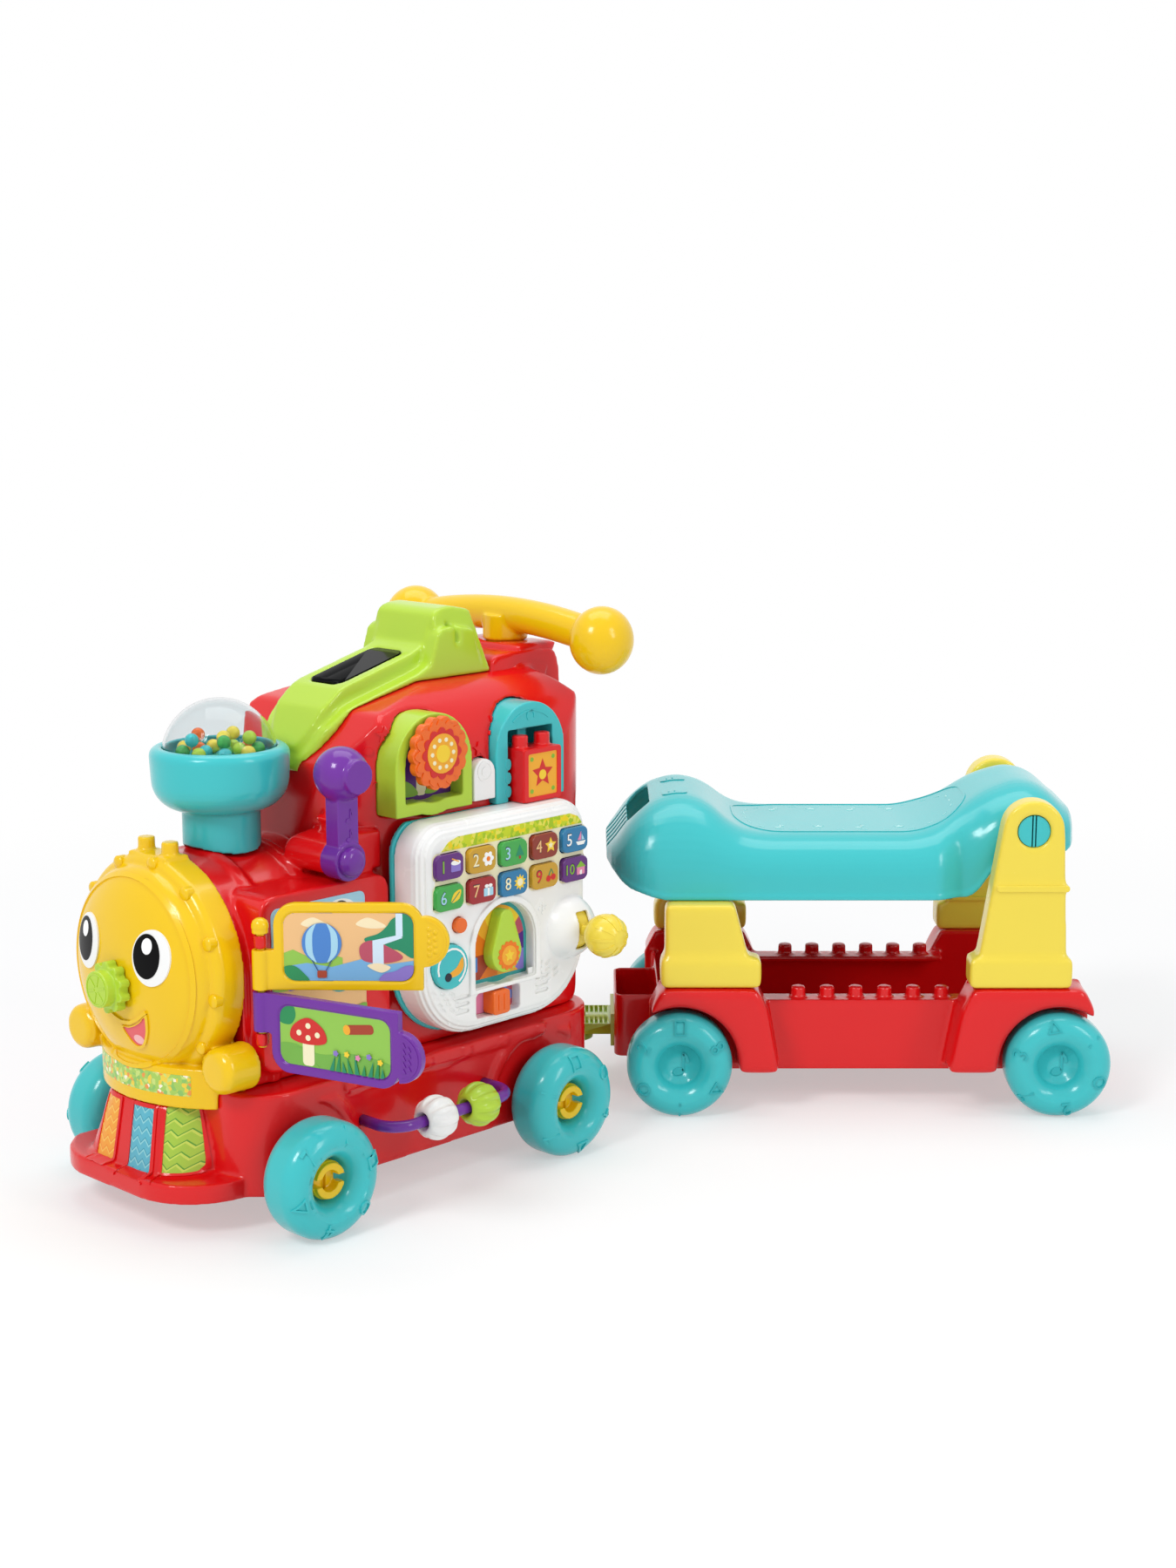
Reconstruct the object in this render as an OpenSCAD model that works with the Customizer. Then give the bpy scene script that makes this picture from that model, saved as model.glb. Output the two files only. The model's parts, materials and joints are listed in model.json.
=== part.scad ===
// Ride on train: a locomotive and a hitched seat wagon for a toddler.
// Millimetres. The floor is at zero and the wagon runs along the first axis.

/* [Whole train] */
// turn of the locomotive to the wagon
hitch_angle = 46.3; // [0:0.1:60]
// hitch pin ahead of the wagon's zero
hitch_ahead = 10.5; // [0:0.5:40]
// frame centre along the wagon
frame_x = 14.3; // [-100:0.5:100]
// frame centre across the wagon
frame_y = -164.4; // [-300:0.5:100]
// play between pieces that only meet
fit_gap = 0.3; // [0.1:0.05:0.6]
// play of a turning bore round its pin
run_gap = 0.06; // [0.02:0.01:0.1]
// overrun of a cut past its face
over = 2; // [0.5:0.5:4]
// shell wall
wall = 3; // [2:0.5:5]

/* [Wheels] */
// wheel diameter
wheel_d = 90; // [70:1:120]
// wheel width
wheel_w = 42; // [30:1:56]
// rounding of the fat tyre
tyre_round = 15; // [8:1:18]
// loco wheel bore diameter
hub_bore_d = 20; // [14:1:26]
// loco wheel off the lower shell
wheel_gap = 4.5; // [3:0.5:9]
// loco wheelbase
loco_wheelbase = 255; // [220:1:320]
// rear axle ahead of the hitch
hitch_to_axle = 159; // [120:1:220]
// wagon half track
wagon_track = 108; // [90:1:130]
// wagon front axle behind the wagon zero
wagon_axle_x = 78; // [60:1:110]
// wagon wheelbase
wagon_wheelbase = 322; // [260:1:380]
// steel axle diameter
axle_d = 8; // [6:0.5:10]
// hub disc diameter of a wagon wheel
hollow_d = 44; // [36:1:50]
// hub disc inside the tyre
hub_in = 9; // [6:1:12]
// hub disc half thickness
hub_half = 7; // [5:1:12]
// snap hub lip past the bore
lip_out = 2.5; // [1:0.5:4]
// snap hub lip thickness
lip_t = 4; // [2:0.5:6]
// snap hub slot width
hub_slot = 4; // [2:0.5:6]
// hub foot diameter
hub_foot_d = 26; // [22:1:30]
// hub foot reach into the wheel
hub_foot_in = 4.5; // [2:0.5:6]

/* [Locomotive lower shell] */
// half width of the lower shell
low_half = 98; // [90:1:112]
// lower shell's shift to the left
low_shift = 13; // [0:1:20]
// underside height above the floor
low_z = 27; // [15:1:40]
// top of the lower shell
deck_z = 106; // [90:1:120]
// lower shell rear ahead of the hitch
low_rear = 78; // [60:1:100]
// rounding of the rear end
low_round = 45; // [20:1:60]
// lower shell front ahead of the hitch
low_front = 455; // [440:1:465]
// rounding of the front end
nose_round = 40; // [20:1:60]
// cowcatcher foot ahead of the hitch
cow_front = 494; // [470:1:500]
// cowcatcher half width at its foot
cow_half = 62; // [45:1:70]
// cowcatcher rounding
cow_round = 34; // [20:1:50]
// cowcatcher lean at its top
cow_lean = 10; // [4:1:16]
// cowcatcher narrowing at its top
cow_narrow = 15; // [8:1:24]
// bumper front ahead of the hitch
bumper_front = 505; // [495:1:515]
// bumper half width
bumper_half = 92; // [85:1:105]
// bumper rounding
bumper_round = 57; // [25:1:60]
// bumper height
bumper_h = 15; // [8:1:25]
// rail height along the deck
rail_h = 12; // [6:1:18]
// rail relief
rail_out = 3; // [1:0.5:4]
// rivet diameter
rivet_d = 11; // [6:1:14]
// rivet height
rivet_h = 1.5; // [1:0.5:3]
// spacing of the rivets
rivet_pitch = 42; // [30:1:60]
// rivets on a rail
rivets = 5; // [3:1:7]
// rail start behind the front axle
rail_from = 45; // [30:1:60]
// rail end rounding
rail_r = 5; // [3:0.5:6]
// arch moulding width round a wheel
arch_w = 9; // [5:1:14]
// arch moulding play round a wheel
arch_gap = 8; // [5:1:14]
// arch moulding relief
arch_out = 2.5; // [1:0.5:4]
// draw bar half width
bar_half = 15; // [10:1:20]
// draw bar thickness
bar_t = 11; // [8:0.5:14]
// hitch pin diameter
pin_d = 12; // [8:0.5:16]
// hitch pin head height
pin_head = 3; // [2:0.5:5]
// battery door length
door_l = 90; // [60:1:120]
// battery door width
door_w = 70; // [50:1:100]
// battery door thickness
door_t = 2; // [1.5:0.5:3]
// ledge round the battery door
door_ledge = 4; // [2:0.5:6]
// lower shell floor thickness
floor_t = 4; // [3:0.5:6]
// shell screw head diameter
screw_d = 8; // [6:0.5:10]
// shell screw length
screw_l = 14; // [8:1:20]
// shell screws off the middle
screw_off = 70; // [50:1:90]

/* [Boiler and cab] */
// boiler radius
boiler_r = 82; // [70:1:92]
// boiler axis height
boiler_z = 191; // [170:1:210]
// boiler front ahead of the hitch
boiler_front = 440; // [420:1:460]
// cab front ahead of the hitch
cab_front = 338; // [320:1:350]
// cab rear ahead of the hitch
cab_rear = 64; // [55:1:80]
// cab half width
cab_half = 92; // [80:1:98]
// height where the cab rounds in
cab_side_z = 322; // [300:1:350]
// shoulder rounding of the cab
shoulder_r = 58; // [30:1:70]
// rounding of the cab outline
cab_soft = 14; // [8:1:20]
// rounding of the cab in plan
cab_corner = 52; // [30:1:60]
// front rounding of the cab in plan
cab_brow = 84; // [50:1:90]
// cab roof height
roof_z = 386; // [370:1:400]
// band relief
band_out = 2.5; // [1:0.5:4]
// band width
band_w = 9; // [5:1:14]
// first band behind the boiler front
band_at = 24; // [10:1:40]
// second band behind the first
band_step = 50; // [30:1:70]
// stub diameter behind the chimney
stub_d = 24; // [16:1:30]
// stub height
stub_h = 34; // [20:1:40]
// stub off the middle
stub_off = 62; // [40:1:70]
// stub foot height
stub_z = 262; // [250:1:270]
// stub ahead of the hitch
stub_at = 330; // [315:1:345]
// pedestal half width across
ped_half = 40; // [30:1:50]
// pedestal length
ped_len = 44; // [36:1:60]
// pedestal top height
ped_z = 404; // [395:1:412]
// pedestal foot flare
ped_flare = 5; // [4:1:16]
// pedestal lean
ped_lean = 28; // [10:1:40]
// pedestal foot below the roof
ped_deep = 30; // [16:1:40]
// side box front ahead of the hitch
box_front = 431; // [425:1:436]
// side box length
box_l = 126; // [90:1:130]
// side box bottom
box_z = 117; // [110:1:130]
// side box height
box_h = 135; // [110:1:145]
// side box face from the middle
box_out = 95; // [90:1:100]
// side box root from the middle
box_in = 55; // [40:1:70]
// side box rounding
box_r = 12; // [6:1:20]
// frame width round the side card
box_frame = 9; // [5:1:14]
// card thickness
card_t = 1; // [0.6:0.1:2]
// side card length
card_l = 92; // [80:1:100]

/* [Face] */
// face ring radius
ring_r = 86; // [75:1:95]
// face ring thickness
ring_t = 26; // [15:1:35]
// face dome radius at the ring
dome_r = 78; // [65:1:84]
// face dome height
dome_h = 28; // [15:1:35]
// ring step rounding
ring_round = 8; // [3:1:12]
// eye height
eye_h = 42; // [30:1:50]
// eye width
eye_w = 35; // [25:1:45]
// eye off the middle
eye_off = 39; // [30:1:50]
// eye above the boiler axis
eye_up = 18; // [5:1:30]
// eye thickness
eye_t = 1.5; // [1:0.5:3]
// lamp lobe radius
lobe_r = 18; // [12:1:24]
// lamp lobe off the middle
lobe_off = 85; // [70:1:92]
// lamp lobe height
lobe_z = 127; // [110:1:140]
// lamp lobe reach in front of the boiler
lobe_len = 31; // [20:1:40]
// lamp face step
lobe_step = 3; // [1:0.5:5]
// bib radius in plan
bib_r = 106; // [95:1:120]
// bib front in front of the boiler
bib_front = 45; // [30:1:55]
// bib bottom
bib_z = 92; // [80:1:100]
// bib height
bib_h = 31; // [20:1:40]
// nose gear radius
nose_r = 20; // [14:1:26]
// nose gear thickness
nose_t = 9; // [6:1:14]
// nose cap radius
cap_r = 14; // [10:1:18]
// nose cap height
cap_h = 8; // [4:1:12]
// nose below the boiler axis
nose_down = 9; // [0:1:20]
// nose tooth radius
tooth_r = 3.4; // [2:0.2:5]
// nose teeth
teeth = 10; // [8:1:14]
// nose spindle diameter
spindle_d = 10; // [6:0.5:14]
// stud plate width
plate_w = 46; // [36:1:60]
// stud plate length
plate_l = 22; // [18:1:30]
// stud plate top height
plate_z = 277; // [272:1:285]
// stud plate depth into the ring
plate_deep = 14; // [8:1:20]

/* [Building studs] */
// stud diameter
stud_d = 13; // [10:0.5:16]
// stud height
stud_h = 10; // [6:0.5:14]
// stud spacing
stud_pitch = 24.8; // [20:0.2:30]
// face studs off the middle
face_stud = 14.6; // [12:0.2:18]
// letter block studs off its middle
cube_stud = 12.4; // [10:0.2:14]

/* [Chimney] */
// chimney axis ahead of the hitch
chim_at = 391; // [370:1:410]
// chimney foot radius
foot_r = 30; // [28:1:42]
// top of the foot
foot_z = 303; // [290:1:315]
// bowl rim radius
bowl_r = 53.5; // [45:0.5:60]
// bowl rim height
bowl_z = 351; // [340:1:365]
// bowl rim rounding
bowl_round = 7; // [4:1:10]
// bowl belly radius
belly_r = 24; // [10:1:26]
// bowl belly inside the rim
belly_in = 1; // [0:1:8]
// bowl belly under the rim
belly_down = 25; // [20:1:32]
// bowl floor under the rim
bowl_floor = 9; // [5:1:15]
// clear dome radius at its foot
clear_r = 43.5; // [35:0.5:48]
// clear dome height
clear_h = 36; // [28:1:44]
// clear dome wall
clear_t = 1.8; // [1:0.2:3]
// popper ball diameter
ball_d = 11; // [8:0.5:13]
// popper balls
balls = 9; // [5:1:12]
// popper balls' ring radius
ball_ring = 29; // [20:1:34]

/* [Hood and handle] */
// hood half width
hood_half = 43; // [34:1:50]
// hood half width over its skirt
hood_in = 30; // [24:1:36]
// skirt drop under the hood
skirt_drop = 15; // [8:1:22]
// skirt in front of the hood
skirt_out = 4; // [0:1:8]
// hood front ahead of the hitch
hood_front = 332; // [322:1:340]
// hood length
hood_len = 190; // [175:1:205]
// hood lower edge
hood_low = 334; // [325:1:345]
// hood height
hood_high = 108; // [95:1:120]
// hood edge rounding
hood_soft = 4; // [2:0.5:8]
// hood block half width
block_half = 33; // [25:1:40]
// hood window length
lens_l = 72; // [50:1:85]
// hood window width
lens_w = 37; // [28:1:46]
// hood window thickness
lens_t = 4; // [2:0.5:6]
// hood window ahead of the hitch
lens_at = 252.5; // [240:1:265]
// hood window centre height
lens_z = 398; // [390:0.5:405]
// hood window slope
lens_tilt = 15; // [5:0.5:25]
// handle ahead of the hitch
handle_at = 86; // [75:1:100]
// handle ball centre height
handle_z = 412; // [400:1:425]
// handle ball off the middle
grip_off = 112; // [95:1:125]
// handle ball radius
grip_r = 28; // [22:1:32]
// handle ball half length
grip_half = 25; // [20:1:30]
// handle bar radius
grip_bar_r = 14.5; // [11:0.5:18]
// rise of the handle bar
grip_rise = 13; // [6:1:20]
// handle saddle radius
saddle_r = 19; // [15:1:24]

/* [Window, key and niche] */
// window frame ahead of the hitch
win_at = 260; // [250:1:272]
// window frame bottom
win_z = 293; // [289:1:300]
// window frame width
win_w = 80; // [70:1:90]
// window frame height
win_h = 78; // [70:1:86]
// window frame bar
win_bar = 10; // [6:1:14]
// window frame proud of the cab
win_proud = 7; // [3:1:12]
// window backing behind the cab side
win_sunk = 8; // [2:1:12]
// window frame depth in the cab
win_deep = 20; // [16:1:26]
// niche depth in the cab
niche_deep = 26; // [20:1:32]
// figure disc diameter
disc_d = 58; // [46:1:62]
// disc centre above the frame's bottom
disc_up = 48; // [40:1:54]
// figure disc ahead of the hitch
disc_at = 262; // [250:1:266]
// figure disc thickness
disc_t = 7; // [5:1:10]
// petals round the figure disc
petals = 14; // [10:1:18]
// petal radius
petal_r = 6.5; // [4:0.5:9]
// figure disc stem diameter
disc_stem = 16; // [10:1:24]
// figure disc travel
disc_go = 2.5; // [1.5:0.5:4]
// white key width
key_w = 23; // [18:1:24]
// white key height
key_h = 33; // [24:1:36]
// white key ahead of the hitch
key_at = 206.3; // [204:0.1:208]
// white key centre height
key_z = 311.5; // [308:0.5:316]
// white key relief
key_out = 7; // [4:1:10]
// niche ahead of the hitch
niche_at = 155; // [148:1:162]
// niche width
niche_w = 77; // [70:1:84]
// niche height
niche_h = 79; // [70:1:84]
// niche notch width
notch_w = 50; // [46:1:58]
// niche notch height
notch_h = 58; // [50:1:66]
// letter block width
cube_w = 42; // [36:1:44]
// letter block height
cube_h = 43; // [38:1:46]
// letter block depth
cube_d = 26; // [18:1:28]
// letter block proud of the cab
cube_off = 20; // [16:1:26]
// yellow tab width
tab_w = 10; // [6:1:14]
// yellow tab height
tab_h = 14; // [10:1:20]
// yellow tab behind the niche face
tab_in = 10; // [6:1:16]

/* [Control panel] */
// panel face off the cab
face_off = 34; // [26:1:40]
// panel front edge ahead of the hitch
panel_front = 301; // [290:1:312]
// panel rear edge ahead of the hitch
panel_rear = 116; // [108:1:126]
// panel bottom
panel_z = 117; // [112:1:125]
// panel top
panel_top = 289; // [282:1:292]
// panel upper rounding
panel_r_up = 26; // [15:1:36]
// panel lower rounding
panel_r_low = 58; // [40:1:70]
// teal rim round the panel
rim_out = 2.5; // [1:0.5:4]
// teal rim thickness
rim_t = 4; // [3:0.5:6]
// panel edge rounding
edge_r = 10; // [6:1:14]
// panel edge steps
edge_steps = 4; // [2:1:6]
// digit key width
num_w = 29; // [22:1:31]
// digit key height
num_h = 20; // [14:1:22]
// digit key rounding
num_r = 6; // [3:0.5:8]
// digit key relief
num_out = 4; // [2:0.5:6]
// digit key travel
num_go = 2; // [1:0.5:3]
// digit key spacing along
num_pitch = 34.6; // [32:0.1:36]
// digit key spacing down
num_drop = 24.5; // [22:0.5:28]
// first number key ahead of the hitch
num_at = 273.8; // [270:0.2:278]
// upper row height
num_z = 256.6; // [252:0.2:260]
// digit key skirt
num_skirt = 1.6; // [1:0.2:2]
// small button diameter
dot_d = 12; // [8:0.5:16]
// small button ahead of the hitch
dot_at = 262; // [256:1:268]
// small button height
dot_z = 208; // [200:1:214]
// melody button diameter
tune_d = 35; // [28:1:40]
// melody button ahead of the hitch
tune_at = 273; // [268:1:280]
// melody button height
tune_z = 177; // [170:1:184]
// dial window width
dial_w = 66; // [56:1:72]
// dial window height
dial_h = 64; // [56:1:70]
// dial window ahead of the hitch
dial_at = 212; // [206:1:220]
// dial window bottom
dial_z = 153; // [148:1:158]
// dial pivot above the window's bottom
dial_up = 24; // [18:1:30]
// pointer round end radius
pear_r = 16; // [13:1:18]
// pointer tip radius
tip_r = 7; // [5:0.5:9]
// pointer tip above the pivot
tip_up = 28; // [24:1:32]
// pointer relief
pear_out = 3; // [2:0.5:6]
// pointer pin diameter
pear_pin = 6; // [4:0.5:8]
// dial and switch tray depth
tray_deep = 7; // [5:0.5:10]
// switch window width
sw_w = 48; // [40:1:54]
// switch window height
sw_h = 20; // [14:1:24]
// switch window ahead of the hitch
sw_at = 219; // [212:1:226]
// switch window centre height
sw_z = 138; // [132:1:142]
// switch knob width
knob_w = 18; // [12:1:24]
// switch knob relief
knob_out = 4; // [2:0.5:6]
// lever dome radius
lever_r = 27; // [22:1:32]
// lever dome ahead of the hitch
lever_at = 139; // [134:1:144]
// lever dome height
lever_z = 184; // [178:1:190]
// lever dome centre off the cab
lever_off = 27; // [20:1:32]
// lever dome wall
lever_wall = 3; // [2:0.5:4]
// lever dome slot width
slot_w = 13; // [10:0.5:18]
// lever dome slot half turn
slot_turn = 34; // [20:1:45]
// lever rod diameter
rod_d = 9; // [7:0.5:11]
// lever ball diameter
knob_d = 35; // [28:1:40]
// lever ball off the cab
knob_off = 75; // [66:1:82]
// lever swivel cut behind its centre
swivel_cut = 15; // [8:1:18]
// speaker slot length
voice_l = 15; // [8:1:20]
// speaker slot width
voice_w = 2.6; // [1.5:0.1:4]
// speaker slot pitch
voice_pitch = 6; // [4:0.5:8]
// speaker slots in a field
voices = 3; // [2:1:5]
// right slot field ahead of the hitch
voice_at_r = 170; // [160:1:176]
// left slot field ahead of the hitch
voice_at_l = 258; // [250:1:268]
// slot field height
voice_z = 137; // [132:1:146]

/* [Works inside] */
// circuit board length
board_l = 128; // [100:1:136]
// circuit board height
board_h = 36; // [30:1:40]
// circuit board thickness
board_t = 1.6; // [1:0.2:3]
// circuit board standoff diameter
post_d = 6; // [4:0.5:8]
// circuit board standoff height
post_h = 5; // [3:1:8]
// speaker diameter
speaker_d = 34; // [28:1:36]
// speaker ahead of the hitch
speaker_at = 172; // [168:1:176]
// speaker height
speaker_z = 146; // [142:1:150]
// speaker depth
speaker_t = 14; // [10:1:18]
// battery pack length
pack_l = 96; // [90:1:110]
// battery pack width
pack_w = 74; // [66:1:80]
// battery pack height
pack_h = 34; // [24:1:44]

/* [Pages and beads] */
// hinge ahead of the hitch
hinge_at = 440; // [434:1:446]
// hinge from the middle
hinge_y = 105; // [101:1:112]
// hinge pin diameter
hinge_d = 6; // [4:0.5:8]
// hinge knuckle diameter
knuckle_d = 13; // [10:0.5:16]
// page thickness
page_t = 7; // [4:0.5:9]
// page length from the hinge
page_l = 119; // [100:1:124]
// tab centre off the page's middle
tab_up = 4; // [0:1:10]
// page tab half height
tab_half = 19; // [10:1:20]
// upper page height
page_h_up = 65; // [50:1:70]
// lower page height
page_h_low = 58; // [46:1:64]
// lower page bottom
page_z = 129; // [126:0.5:136]
// play between the pages
page_gap = 1.5; // [1:0.5:4]
// page rim
page_rim = 6; // [4:0.5:9]
// page rounding
page_round = 16; // [10:1:22]
// page picture recess
page_deep = 1.5; // [1:0.5:2]
// upper page opening
page_open_up = 47; // [0:1:120]
// lower page opening
page_open_low = 74; // [0:1:120]
// hinge bracket thickness
bracket_t = 12; // [8:1:16]
// hinge bracket end radius
bracket_r = 5; // [4:0.5:7]
// page start past its knuckle
page_start = 3.5; // [2:0.5:6]
// hinge cap height
hinge_cap = 6; // [4:1:10]
// knuckle height
knuckle_h = 30; // [20:1:36]
// bead rod diameter
bead_rod_d = 9; // [7:0.5:11]
// bead rod height
bead_z = 68; // [60:1:76]
// bead rod front leg ahead of the hitch
bead_front_at = 350; // [344:1:358]
// bead rod rear leg ahead of the hitch
bead_rear_at = 222; // [214:1:230]
// bead rod line off the lower shell
bead_off = 36; // [30:1:56]
// bead rod bend radius
bead_bend = 20; // [14:1:26]
// bead diameter
bead_d = 35; // [28:1:38]
// bead length
bead_l = 29; // [22:1:32]
// bead edge rounding
bead_r = 5.5; // [3:0.5:6]
// bead bore play
bead_gap = 0.6; // [0.3:0.1:1.2]
// white bead ahead of the hitch
bead_a = 307; // [300:1:312]
// green bead ahead of the hitch
bead_b = 262; // [256:1:268]
// bead groove radius
groove_r = 4.5; // [3:0.5:6]
// bead grooves
grooves = 10; // [8:1:12]

/* [Side lever] */
// lever pivot ahead of the hitch
horn_at = 351; // [345:1:358]
// lever pivot above the side box
horn_off = 17; // [10:1:24]
// lever inner face behind the cab side
horn_in = 7; // [0:1:12]
// lever thickness at the pivot
horn_t = 19; // [14:1:24]
// lever boss root from the middle
horn_root = 40; // [30:1:60]
// lever boss reach into the cab
horn_reach = 34; // [20:1:45]
// lever pivot disc radius
horn_r = 15; // [12:0.5:18]
// lever neck width
horn_w = 20; // [15:1:24]
// lever ball radius
horn_ball = 21; // [17:0.5:24]
// lever ball above the pivot
horn_up = 66; // [60:1:72]
// lever pin diameter
horn_pin = 10; // [7:0.5:12]
// lever disc diameter on the ball
horn_disc = 26; // [20:1:30]

/* [Wagon] */
// wagon tub half width
tub_half = 84; // [76:1:90]
// wagon tub bottom
tub_z = 31; // [25:1:40]
// wagon tub top
tub_top = 93; // [86:1:100]
// wagon tub front
tub_x = 60; // [56:1:66]
// wagon tub rear
tub_end = 430; // [420:1:440]
// stud rail width
stud_rail = 23; // [18:1:28]
// stud rail thickness
stud_rail_t = 5; // [3:0.5:8]
// first stud behind the wagon zero
stud_x = 181.7; // [176:0.1:188]
// stud row off the middle
stud_row = 72.5; // [68:0.5:78]
// studs in a row
studs = 6; // [4:1:8]
// housing outer face off the middle
house_half = 121; // [116:1:126]
// housing top
house_top = 112; // [106:1:118]
// front housing front end
house_x = 52; // [48:1:58]
// front housing foot end
house_foot = 164; // [160:1:176]
// rear housing foot start
house_foot_rear = 306; // [300:1:314]
// rear housing rear end
house_end = 431; // [426:1:440]
// housing slope at the top
house_slope = 20; // [10:1:30]
// wheel well play
well_gap = 5; // [4:0.5:8]
// housing foot height
house_z = 37; // [28:1:40]
// bin front
bin_x = 23; // [18:1:28]
// bin half width
bin_half = 47; // [40:1:54]
// bin rim height
bin_top = 87; // [80:1:92]
// bin rounding
bin_r = 8; // [4:1:12]
// hitch bar half width
tongue_half = 30; // [24:1:34]
// hitch bar top
tongue_z = 56; // [52:0.5:60]
// hitch bar thickness
tongue_t = 9.5; // [8:0.5:12]
// hitch bar slots
tongue_slots = 7; // [4:1:9]
// hitch bar slot depth
tongue_deep = 4; // [2:0.5:6]
// hitch bar slot width
tongue_slot = 2.6; // [1.5:0.1:3.5]
// hitch bar slot pitch
tongue_pitch = 4.2; // [3:0.1:6]
// hitch bar end plate thickness
tongue_plate = 3; // [2:0.5:4]
// hitch bar end plate height
tongue_plate_h = 29; // [20:1:34]

/* [Posts and seat] */
// post inner face off the middle
post_in = 88; // [86:1:94]
// post outer face off the middle
post_out = 114; // [108:1:118]
// post flange height
flange_h = 26; // [18:1:32]
// post flange relief
flange_out = 4; // [2:0.5:6]
// front post foot start
fpost_x = 65; // [60:1:70]
// front post foot end
fpost_end = 143; // [138:1:150]
// front post top end
fpost_top = 124; // [118:1:130]
// rear post foot start
rpost_x = 327; // [322:1:332]
// rear post foot end
rpost_end = 406; // [400:1:412]
// rear post head radius
rpost_r = 26; // [22:1:30]
// rear post hole behind the wagon zero
pivot_x = 374; // [368:1:380]
// rear post hole height
pivot_z = 247; // [240:1:254]
// rear post hole diameter
pivot_d = 28; // [22:1:32]
// rear post ring height
ring_z = 196; // [188:1:204]
// rear post ring relief
ring_out = 2; // [1:0.5:3]
// rear post ring width
ring_w = 5; // [3:0.5:8]
// seat half width
seat_half = 97; // [90:1:104]
// seat half width between the rear posts
seat_rear_half = 84; // [78:1:87]
// seat bottom
seat_z = 184; // [178:1:190]
// seat narrows here
seat_neck = 322; // [310:1:328]
// seat wall
seat_wall = 4; // [3:0.5:6]
// seat edge rounding
seat_round = 24; // [12:1:32]
// seat length
seat_len = 400; // [360:1:430]
// seat front behind the wagon zero
seat_front = 16; // [10:1:24]
// seat height
seat_high = 95; // [85:1:105]
// seat half width at the flank tops
seat_top_half = 62; // [50:1:75]
// seat crown half width
seat_crown = 34; // [20:1:45]
// opening under the seat, length
seat_open = 248; // [200:1:260]
// opening under the seat, start
seat_open_at = 50; // [44:1:60]
// grip slot length
grip_l = 92; // [70:1:110]
// grip slot width
grip_w = 20; // [14:1:26]
// grip slot behind the wagon zero
grip_x = 44; // [38:1:50]
// finger grooves
fingers = 5; // [3:1:6]
// finger groove spacing
finger_pitch = 17; // [12:1:20]
// finger groove radius
finger_r = 5; // [3:0.5:7]
// pivot boss slot width
boss_slot = 3; // [2:0.5:5]

/* [Hidden] */
$fn = 64;
red = "#d8232a";
yellow = "#f6cf1d";
pale_yellow = "#f4dc55";
teal = "#48c2c4";
green = "#b4d334";
purple = "#7b3f98";
white = "#f7f7f5";
orange = "#f0641e";
blue = "#2a86c6";
gold = "#e0b02c";
brown = "#a63a22";
black = "#17181a";
grey = "#8a8d90";
leaf = "#3fae5a";
wheel_r = wheel_d / 2;
hub_r = hub_bore_d / 2;
axle_r = axle_d / 2;
rear_axle_x = -hitch_to_axle;
front_axle_x = -hitch_to_axle - loco_wheelbase;
boiler_x = -boiler_front;
box_x = -box_front;
tongue_low = tongue_z - tongue_t;
bar_top = tongue_low - fit_gap;
face_x = boiler_x - ring_t;
nose_x = face_x - dome_h;
nose_z = boiler_z - nose_down;
clear_curve = (clear_r * clear_r + clear_h * clear_h) / (2 * clear_h);
num_deep = wall + num_go + num_skirt;
loco_track = low_half + wheel_w / 2 + wheel_gap;
bead_y = low_half + bead_off;
win_out = cab_half + win_proud;
win_back = cab_half - win_sunk;
win_root = cab_half - win_deep;
niche_root = cab_half - niche_deep;
cube_y = cab_half + cube_off;
lever_in = cab_half + lever_off;
knob_y = cab_half + knob_off;
horn_y = cab_half - horn_in;
horn_z = box_z + box_h + horn_off;
face_out = cab_half + face_off;
panel_in = face_out - wall;
rim_y = cab_half + rim_t;
page_low_top = page_z + page_h_low;
page_up_z = page_low_top + page_gap;
page_top = page_up_z + page_h_up;
bar_curve = (grip_off * grip_off + grip_rise * grip_rise) / (2 * grip_rise);
bar_turn = asin(grip_off / bar_curve);
rear_axle_w = wagon_axle_x + wagon_wheelbase;
fine = 96;
keys = 10;
keys_row = 5;
coarse = 32;
full = 360;
key_colors = [purple, gold, leaf, brown, blue, leaf, red, blue, gold, purple];
ball_colors = [orange, green, teal, pale_yellow, purple];
// hood block's start in shares of the hood
block_share = 0.69;
// cab outline in shares of its size
cab_shares = [[0, 0], [0, 0.57], [0.03, 0.80], [0.16, 0.945], [0.42, 1], [0.86, 1], [0.97, 0.90],
  [1, 0.78], [0.955, 0.665], [0.93, 0.60], [0.93, 0]];
// hood outline in shares of its size
hood_shares = [[0, 0.02], [0.026, 0.12], [0.105, 0.352], [0.2, 0.481], [0.242, 0.509], [0.595, 0.676],
  [0.66, 0.73], [0.70, 0.95], [0.73, 0.985], [0.80, 1], [0.91, 0.96], [1, 0.41], [0.84, 0.39]];
// flank corner heights in shares of the seat
flank_shares = [0.14, 0.56, 0.92];
// seat outline in shares of its size
seat_shares = [[0, 0.31], [0.03, 0.55], [0.09, 0.80], [0.155, 0.885], [0.215, 0.82], [0.275, 0.60], [0.33, 0.55],
  [0.66, 0.55], [0.73, 0.64], [0.81, 0.88], [0.89, 1], [0.95, 0.93], [1, 0.70], [1, 0.46], [0.90, 0.22],
  [0.78, 0], [0.12, 0], [0.035, 0.11]];

// Placing

module on_wagon() {
  translate([-frame_x, -frame_y, 0]) children();
}

module on_low() {
  on_loco() translate([0, -low_shift, 0]) children();
}

module on_loco() {
  translate([-hitch_ahead - frame_x, -frame_y, 0]) rotate([0, 0, hitch_angle]) children();
}

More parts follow.
